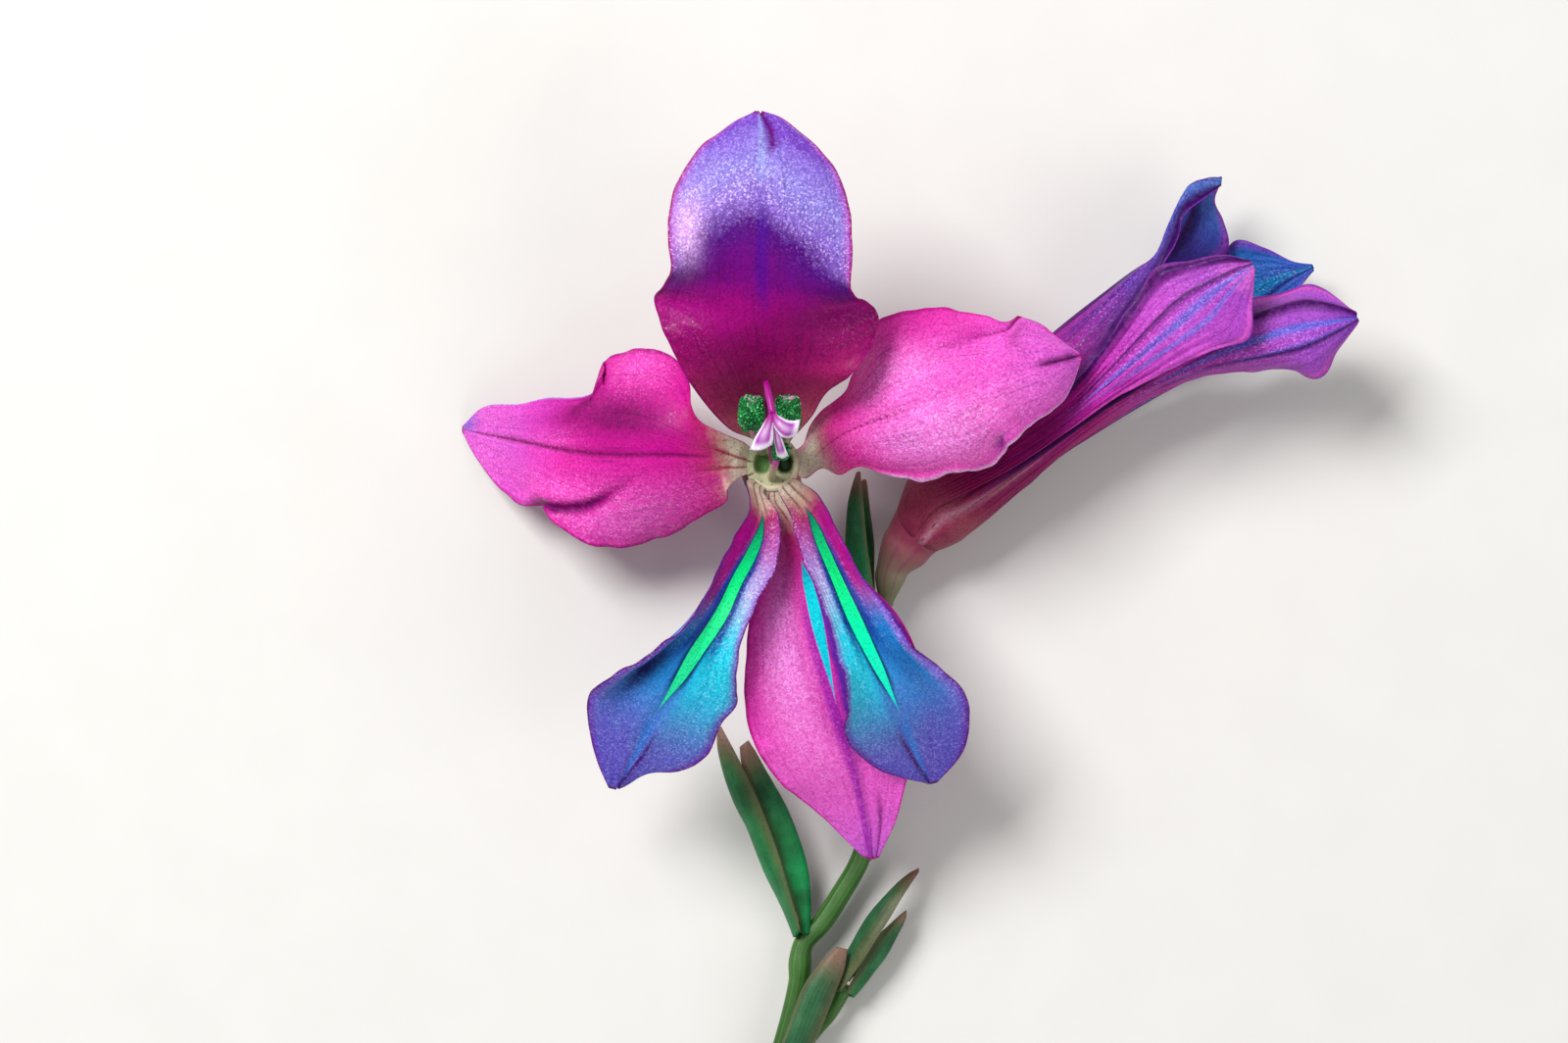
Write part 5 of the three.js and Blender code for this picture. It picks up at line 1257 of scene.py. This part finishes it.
# Pods
# Two young seed pods, swollen and three-sided, that sit in the lower pairs of bracts.
pod = Finish("pod_skin", roughness=0.35, specular_ior_level=0.5, subsurface_weight=0.15,
             subsurface_scale=0.6 * MM)
pod_noise = pod.noise(pod.place(), 0.6, 3)
pod_colour = pod_noise.ramp((0.35, rgb(0, 110, 66)), (0.55, rgb(0, 146, 88)), (0.7, rgb(40, 168, 116)))
pod_finish = pod.painted(pod_colour, pod.bump(pod_noise, 0.3, 0.06))


def pod_radius(widest):
    stops = stepped((0, 0.5 * widest), (0.5, widest), (1, 0.3 * widest))
    return lambda share, angle: stops(share) * (0.95 + 0.05 * np.cos(3 * angle))


PODS = {"pod_upper": ([[1.15, -36.4, 3.15], [0, -32.6, 3.5]], 0.62),
        "pod_lower": ([[5.9, -43.5, 2.6], [9, -38.9, 2.7]], 0.75)}
for name, (path, widest) in PODS.items():
    add_piece(name, [round_part(path, pod_radius(widest), 36, 40)], pod_finish)


# Bracts
# Narrow boat-shaped leaves that clasp the stem below each flower and pod: green along the middle, drying to
# olive and pinkish brown at the margins and tips, with fine ribs that run from end to end.
BRACT_THICKNESS = 0.34
BRACT_RIBS = 9
BRACT_RIB_HEIGHT = 0.03
BRACTS = {
    "pod_bract_outer": {
        "left": [[1.5, -38.4, 5], [0.3, -34, 6.4], [-1.2, -29.4, 7], [-2.6, -25.8, 6.8], [-4.6, -21.8, 5.9],
                 [-5.9, -19.4, 5.2]],
        "rib": [[1.1, -39.4, 3.2], [-0.35, -36, 3.4], [-1.75, -33, 4], [-3.3, -29.2, 4.4], [-4.6, -26.5, 4.7],
                [-6.1, -21.6, 4.9], [-6.2, -19.3, 5]],
        "right": [[0.9, -38.9, 1.4], [0.5, -35.8, 1.2], [-0.7, -31.7, 1.6], [-2.4, -26.8, 2.5], [-4.4, -23, 3.8],
                  [-5.8, -19.8, 4.7]],
    },
    "pod_bract_inner": {
        "left": [[2.1, -39, 1.7], [1.6, -37.2, 1.9], [1.2, -35.2, 2.2], [0.4, -31.9, 2.5], [-0.9, -28.2, 3.2],
                 [-2.3, -24.9, 3.9], [-3.8, -21.2, 4.7]],
        "rib": [[2.3, -39.1, 3.2], [2.4, -36.9, 3.3], [2.25, -34.4, 3.7], [1.5, -30.8, 4], [0.3, -27.6, 4.4],
                [-1.25, -24.8, 4.7], [-3.4, -20.7, 4.9]],
        "right": [[1.6, -39, 3.4], [1.2, -37.2, 3.9], [-0.2, -34, 4.6], [-1.6, -29.6, 4.9], [-2.9, -26, 4.9],
                  [-4, -23, 4.9], [-4.2, -21.3, 4.9]],
    },
    "branch_bract": {
        "left": [[-3.3, -57.2, 3.6], [-1.5, -52.7, 3.9], [0.3, -48, 4.3], [2, -43.7, 4.6], [3.6, -41.5, 4.7],
                [5, -40.2, 4.7]],
        "rib": [[-2.4, -57.6, 4.1], [-0.9, -53.6, 4.7], [1.1, -49.2, 5.2], [3.1, -44.2, 5.2], [4.5, -42, 5],
                [5.5, -40.3, 4.8]],
        "right": [[-1.5, -57.9, 3.6], [0.7, -53.7, 3.7], [3, -49, 4], [4.8, -44.8, 4.2], [5.7, -42.4, 4.5],
                [6, -40.4, 4.7]],
    },
    "bud_bract_outer": {
        "left": [[5.4, -44.5, 3.9], [7.9, -40.8, 5], [9.9, -37.6, 5], [11.4, -35.2, 4.5], [12.8, -33.2, 3.5]],
        "rib": [[4.3, -44.7, 2.4], [6.3, -40.5, 3], [8.5, -37, 3.4], [10.7, -34.5, 3.4], [12.8, -32.9, 3.2]],
        "right": [[4.9, -45, 1], [7.3, -41.1, 1.2], [9.3, -37.8, 1.6], [11.2, -35.1, 2.3], [12.8, -33.1, 3]],
    },
    "bud_bract_inner": {
        "left": [[6, -45.1, 1.6], [8, -42.2, 1.6], [9.4, -39.9, 1.8], [10.6, -38.2, 2.5], [11.5, -37.1, 3]],
        "rib": [[6.5, -45.1, 2.7], [8.5, -42.6, 2.9], [10, -40.3, 3.1], [11.1, -38.3, 3.2], [11.6, -36.9, 3.2]],
        "right": [[5.9, -44.6, 3.3], [7.5, -41.4, 3.7], [8.9, -39.2, 3.8], [10.3, -37.9, 3.7],
                  [11.5, -36.9, 3.4]],
    },
    "front_bract_outer": {
        "left": [[3.2, -4.1, 5.7], [1.2, -2.7, 6.3], [-0.9, -0.5, 7.5], [-2.9, 1.8, 8.6], [-3.9, 5.5, 8.9]],
        "rib": [[2.7, -3.6, 3.2], [1, -1.6, 4.2], [-1.4, 0.9, 5.6], [-3.3, 3.1, 7.2], [-4, 5.7, 8.6]],
        "right": [[2.4, -2.2, 2.6], [0.3, 0.4, 3], [-2.3, 3, 4.5], [-4, 4.8, 6.5], [-4.2, 5.9, 8.2]],
    },
    "side_bract_outer": {
        "left": [[7.4, -8.9, 5.2], [6.3, -5.4, 5.2], [5.8, -1.7, 5.2], [6.1, 1.6, 5.4], [6.8, 4.6, 5.9]],
        "rib": [[8.1, -8.9, 5.6], [7.2, -5.4, 6.2], [6.6, -1.7, 6.3], [6.6, 1.6, 6.2], [7, 4.7, 6.1]],
        "right": [[8.9, -8.7, 5.6], [8.3, -5.4, 5.9], [7.8, -1.7, 6.4], [7.5, 1.6, 6.5], [7.2, 4.7, 6.2]],
    },
    "side_bract_inner": {
        "left": [[7.3, -8.2, 1.6], [6.3, -4.9, 1.7], [6.3, -1.7, 2.2], [6.8, 1.6, 3], [7.4, 3.9, 4]],
        "rib": [[8, -8.4, 1.7], [7.5, -4.9, 1.9], [7.4, -1.7, 2.4], [7.4, 1.6, 3.2], [7.6, 4, 4]],
        "right": [[8.7, -8.2, 1.8], [8.6, -4.9, 2.2], [8.5, -1.7, 2.8], [8.1, 1.6, 3.4], [7.8, 3.9, 4.1]],
    },
}
FRESHNESS = {"pod_bract_outer": 0.8, "pod_bract_inner": 1.0, "branch_bract": 0.15, "bud_bract_outer": 0.1,
             "bud_bract_inner": 0.35, "front_bract_outer": 0.3, "side_bract_outer": 0.7, "side_bract_inner": 0.9}


def bract_form(seed, freshness):
    def form(u, v):
        ends = np.sin(math.pi * u) ** 0.5
        ribs = np.cos(BRACT_RIBS * math.pi * v)
        relief = BRACT_RIB_HEIGHT * ribs * ends + 0.05 * np.sin(14 * u + 4 * v + seed) * ends
        dry = rise(abs(v), 0.35 + 0.4 * freshness, 0.95) * 0.9 + rise(u, 0.72, 1.0)
        return relief, {
            "dry": np.clip(dry, 0, 1), "fresh": freshness * (1 - 0.6 * rise(u, 0.25, 0.75)),
            "tip": rise(u, 0.80, 1.0), "line": rise(ribs, 0.2, 1.0)}
    return form


leaf = Finish("bract_skin", roughness=0.45, specular_ior_level=0.2, subsurface_weight=0.12,
              subsurface_scale=0.5 * MM)
leaf_noise = leaf.noise(leaf.place(), 2.4, 3)
leaf_grain = leaf.noise(leaf.place(), 0.3, 2)
leaf_colour = leaf_noise.ramp((0.3, rgb(34, 66, 44)), (0.5, rgb(44, 82, 52)), (0.7, rgb(60, 96, 62)))
leaf_bright = leaf_noise.ramp((0.3, rgb(0, 96, 46)), (0.5, rgb(0, 128, 64)), (0.7, rgb(6, 150, 82)))
leaf_colour = leaf_colour.mixed(leaf_bright, leaf.carried("fresh"))
leaf_colour = leaf_colour.mixed(rgb(40, 140, 90), leaf.carried("line") * 0.2)
leaf_colour = leaf_colour.mixed(rgb(96, 92, 62), leaf.carried("dry") * (leaf_noise * 0.8 + 0.4))
leaf_colour = leaf_colour.mixed(rgb(136, 98, 88), leaf.carried("tip") * 0.8)
leaf_colour = leaf_colour.mixed(rgb(24, 50, 26), leaf_grain.rise(0.56, 0.70) * 0.4)
leaf_finish = leaf.painted(leaf_colour, leaf.bump(leaf_grain, 0.4, 0.06))
for number, (name, edges) in enumerate(BRACTS.items()):
    form = bract_form(number, FRESHNESS[name])
    add_piece(name, [blade_part(edges, form, BRACT_THICKNESS, 70, 28)], leaf_finish)
